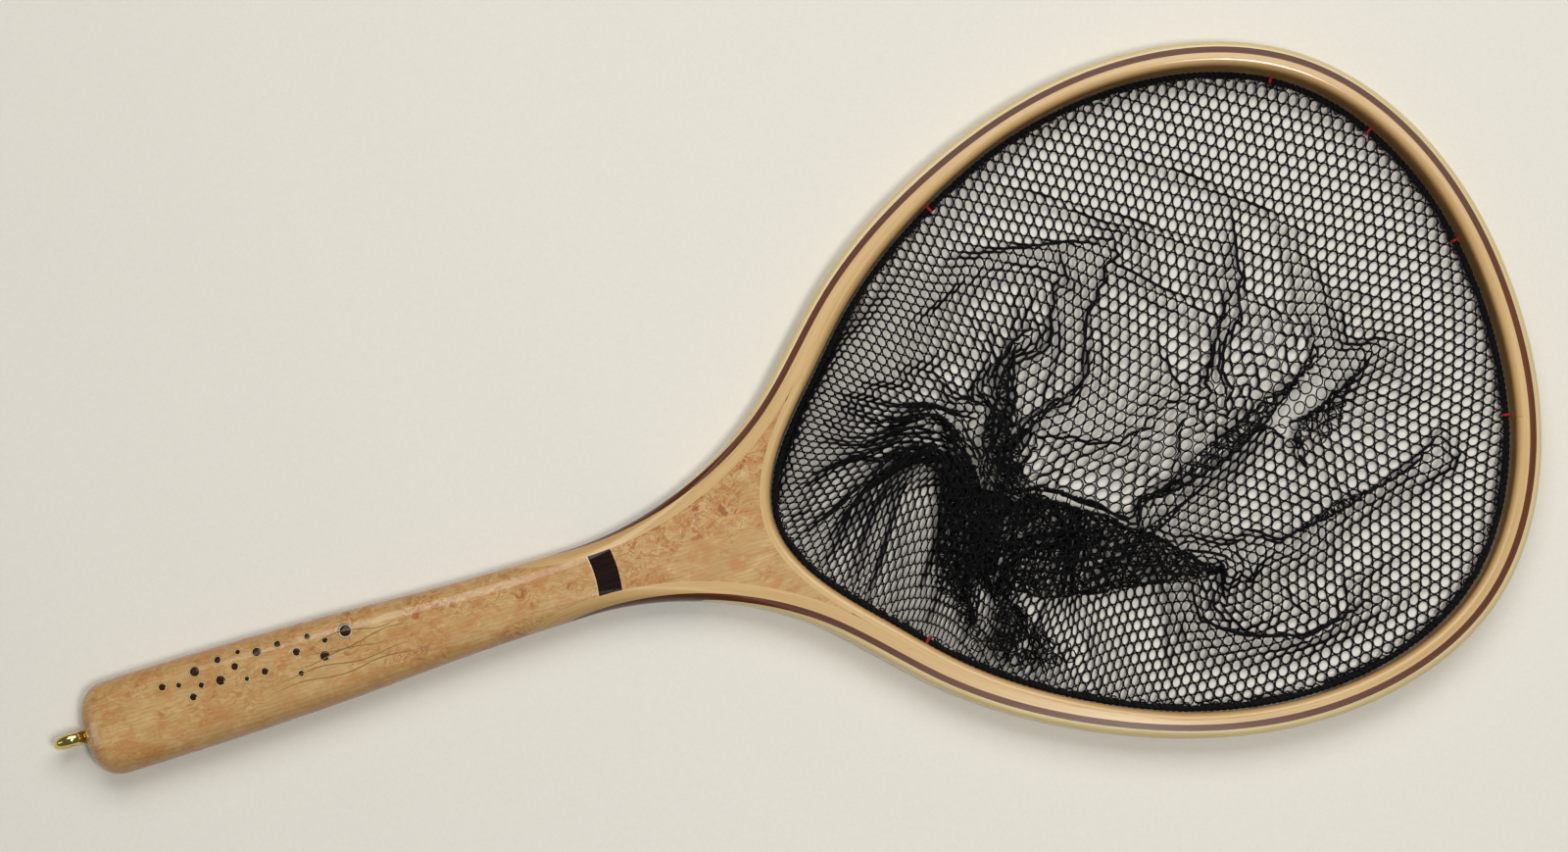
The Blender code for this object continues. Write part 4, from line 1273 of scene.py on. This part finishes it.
def burl_clusters(f):
    """Where the burl's curls lie: in patches, more of them to +Y and none at the butt."""
    parts = f.node("ShaderNodeSeparateXYZ", Vector=f.place)
    span = f.node("ShaderNodeMapRange", Value=parts.outputs["X"])
    for key, value in (("From Min", -0.250), ("From Max", -0.165), ("To Min", 0.45)):
        f.put(span.inputs[key], value)
    patches = f.noise(f.scaled(f.place, (1.0, 1.3, 0.3)), 38.0, 2, 0.5, 0.6)
    upper = f.times(parts.outputs["Y"], 4.0)
    return f.times(f.mask(f.plus(patches, upper), 0.42, 0.62), span.outputs["Result"])


def burl_bend(f, cluster):
    """The place on the wood, shifted about most where the curls lie."""
    warp = f.node("ShaderNodeTexNoise", Vector=f.place, Scale=120.0, Detail=3.0, Roughness=0.6)
    centred = f.vector_maths("SUBTRACT", warp.outputs["Color"], (0.5, 0.5, 0.5))
    shift = f.vector_maths("SCALE", centred, f.plus(f.times(cluster, CURL_REACH), CALM_REACH))
    return f.vector_maths("ADD", f.place, shift)


def figured_wood(name):
    """Varnished burl: curls of grain round small eyes, in clusters, over calm fine grain, with painted sheen
    in patches and painted shade on its sides.
    """
    f = Finish(name)
    cluster = burl_clusters(f)
    bent = burl_bend(f, cluster)
    curls = f.level_lines(f.scaled(bent, (0.75, 1.15, 0.2)), 150.0, 4.0, 0.20, 1.1)
    waves = f.thin_lines(bent, 0.0017, 1.2, 2.0, 0.55, 0.98)
    eyes_at = f.node("ShaderNodeTexVoronoi", Vector=f.scaled(bent, (0.8, 1.25, 0.15)), Scale=150.0,
                     Randomness=1.0)
    eyes = f.rest_of(f.mask(eyes_at.outputs["Distance"], 0.08, 0.30))
    grain = f.noise(f.scaled(bent, (45, 1500, 300)), 1.0, 5, 0.6, 0.4)
    broad = f.noise(f.scaled(f.place, (34, 60, 10)), 1.0, 3, 0.5, 0.8)
    ground = f.ramp(f.plus(f.times(grain, 0.5), f.times(broad, 0.5)),
                    (0.30, srgb(*BURL_DEEP)), (0.52, srgb(*BURL_MID)), (0.75, srgb(*BURL_LIGHT)))
    # patches of painted sheen: a lighter colour standing in for the burl's shimmering highlights
    painted_shine = f.mask(f.noise(f.scaled(bent, (150, 260, 60)), 1.0, 3, 0.55, 0.8), 0.50, 0.72)
    blotch = f.mask(f.noise(f.scaled(f.place, (70, 105, 20)), 1.0, 4, 0.6, 1.4), 0.48, 0.64)
    curl_colour = srgb(*BURL_CURL)
    tone = f.mix(f.times(painted_shine, 0.45), ground, srgb(*BURL_PAINTED_SHEEN))
    tone = f.mix(f.times(blotch, 0.58), tone, srgb(*BURL_STAIN))
    tone = f.mix(f.times(waves, f.plus(f.times(cluster, 0.18), 0.17)), tone, curl_colour)
    tone = f.mix(f.times(curls, f.plus(f.times(cluster, 0.80), 0.05)), tone, curl_colour)
    tone = f.mix(f.times(eyes, f.times(cluster, 0.8)), tone, srgb(*BURL_EYE))
    f.varnish(f.plus(f.times(grain, 0.12), 0.3), WOOD_COAT, COAT_ROUGHNESS)
    # painted shade on the burl's faces that turn away from level
    f.look(base_color=f.painted_side_shade(tone, PAINTED_SIDE_SHADE))
    f.bump(grain, 0.06, 0.0002)
    return f.made


def dark_hardwood(name, low, high):
    f = Finish(name)
    grain = f.noise(f.scaled(f.place, (60, 1500, 400)), 1.0, 5, 0.6, 0.3)
    f.varnish(0.16, 0.2, 0.06)
    f.look(base_color=f.ramp(grain, (0.3, srgb(*low)), (0.7, srgb(*high))))
    f.bump(grain, 0.08, 0.0002)
    return f.made


def metal(name, low, high, smooth, rough, scratch):
    f = Finish(name)
    wear = f.noise(f.scaled(f.place, (scratch, scratch, scratch)), 1.0, 4, 0.6)
    f.look(base_color=f.ramp(wear, (0.3, low), (0.7, high)), metallic=1.0,
           roughness=f.plus(f.times(wear, rough - smooth), smooth))
    f.bump(wear, 0.05, 0.0001)
    return f.made


def fibre(name, low, high, roughness, sheen):
    f = Finish(name)
    lint = f.noise(f.scaled(f.place, (2600, 2600, 2600)), 1.0, 3, 0.6)
    broad = f.noise(f.scaled(f.place, (60, 60, 60)), 1.0, 3, 0.5)
    tone = f.ramp(f.plus(f.times(lint, 0.6), f.times(broad, 0.4)), (0.3, srgb(*low)), (0.7, srgb(*high)))
    f.look(base_color=tone, roughness=f.plus(f.times(lint, 0.2), roughness - 0.1), specular_ior_level=0.12,
           sheen_weight=sheen, sheen_roughness=0.5)
    f.bump(lint, 0.25, 0.0001)
    return f.made


# --- stage, light and camera -------------------------------------------------

def set_colour_view():
    bpy.context.scene.view_settings.view_transform = "Standard"


def make_camera():
    """Nearly straight down."""
    data = bpy.data.cameras.new("camera")
    data.lens = CAMERA_LENS
    data.sensor_width = 36.0
    data.clip_start = 0.05
    data.clip_end = 20
    made = in_scene("camera", data)
    made.location = CAMERA_PLACE
    made.rotation_euler = [math.radians(a) for a in CAMERA_TURN]
    bpy.context.scene.camera = made


def area_light(name, place, aim, size, power, colour):
    data = bpy.data.lights.new(name, "AREA")
    data.shape = "RECTANGLE"
    data.size, data.size_y = size
    data.energy = power
    data.color = colour
    made = in_scene(name, data)
    made.location = place
    made.rotation_euler = (Vector(aim) - Vector(place)).to_track_quat("-Z", "Y").to_euler()


def make_lights():
    area_light("key", *KEY_LIGHT)
    area_light("fill", *FILL_LIGHT)
    area_light("edge", *EDGE_LIGHT)
    world = bpy.data.worlds.new("studio")
    world.use_nodes = True
    background = world.node_tree.nodes["Background"]
    background.inputs["Color"].default_value = (*srgb(250, 248, 244), 1)
    background.inputs["Strength"].default_value = WORLD_STRENGTH
    bpy.context.scene.world = world


def make_floor():
    f = Finish("paper")
    grain = f.noise(f.scaled(f.place, (700, 700, 700)), 1.0, 3, 0.6)
    f.look(base_color=f.ramp(grain, (0.3, srgb(*FLOOR_LOW)), (0.7, srgb(*FLOOR_HIGH))), roughness=0.85)
    reach, drop = FLOOR_REACH, -0.0005
    mesh = bpy.data.meshes.new("floor")
    corners = [(-reach, -reach), (reach, -reach), (reach, reach), (-reach, reach)]
    mesh.from_pydata([(*corner, drop) for corner in corners], [], [(0, 1, 2, 3)])
    floor = in_scene("floor", mesh)
    material_slot(floor, f.made)


def main():
    set_colour_view()
    make_camera()
    make_floor()
    make_lights()
    light = straight_grain("strip_maple", (218, 187, 136), (203, 168, 114), (180, 142, 86),
                           (160, 108, 56), 0.4)
    pale = straight_grain("strip_ash", (224, 207, 160), (212, 192, 142), (194, 170, 116),
                          (172, 140, 88), 0.25, OUTER_PAINTED_SIDE_SHADE)
    walnut = straight_grain("strip_walnut", (112, 60, 28), (88, 42, 18), (60, 26, 11),
                            (40, 16, 8), 0.5, PAINTED_SIDE_SHADE, 0.25)
    figured = figured_wood("burl_maple")
    rosewood = dark_hardwood("polished_rosewood", (14, 7, 5), (38, 20, 14))
    plug_wood = dark_hardwood("plug_rosewood", (34, 15, 9), (64, 34, 22))
    ink = dark_hardwood("burnt_line", (120, 100, 56), (146, 122, 74))
    hairline = dark_hardwood("green_edge", (118, 110, 60), (142, 130, 78))
    brass = metal("polished_brass", (0.70, 0.54, 0.17), (0.76, 0.60, 0.22), 0.05, 0.12, 300)
    silver = metal("nickel_silver", (0.36, 0.34, 0.24), (0.44, 0.41, 0.30), 0.5, 0.6, 900)
    ring_olive = dark_hardwood("olive_ring", (182, 168, 116), (204, 190, 138))
    black = fibre("black_netting", (4, 4, 5), (12, 11, 13), 0.65, 0.02)
    cord = fibre("black_cord", (5, 5, 6), (14, 13, 14), 0.65, 0.03)
    red = fibre("red_whipping", (150, 14, 22), (200, 30, 40), 0.6, 0.15)
    make_grip(figured)
    make_throat(figured)
    make_accent_band(rosewood, pale)
    make_strips(light, walnut, pale)
    make_inner_strip(light)
    make_spots(silver, ring_olive, plug_wood, hairline)
    make_engraving(ink)
    make_eye(brass)
    make_rope(cord)
    make_lacing(cord)
    make_markers(red)
    make_netting(black)


def write_sizes():
    import json


main()
write_sizes()
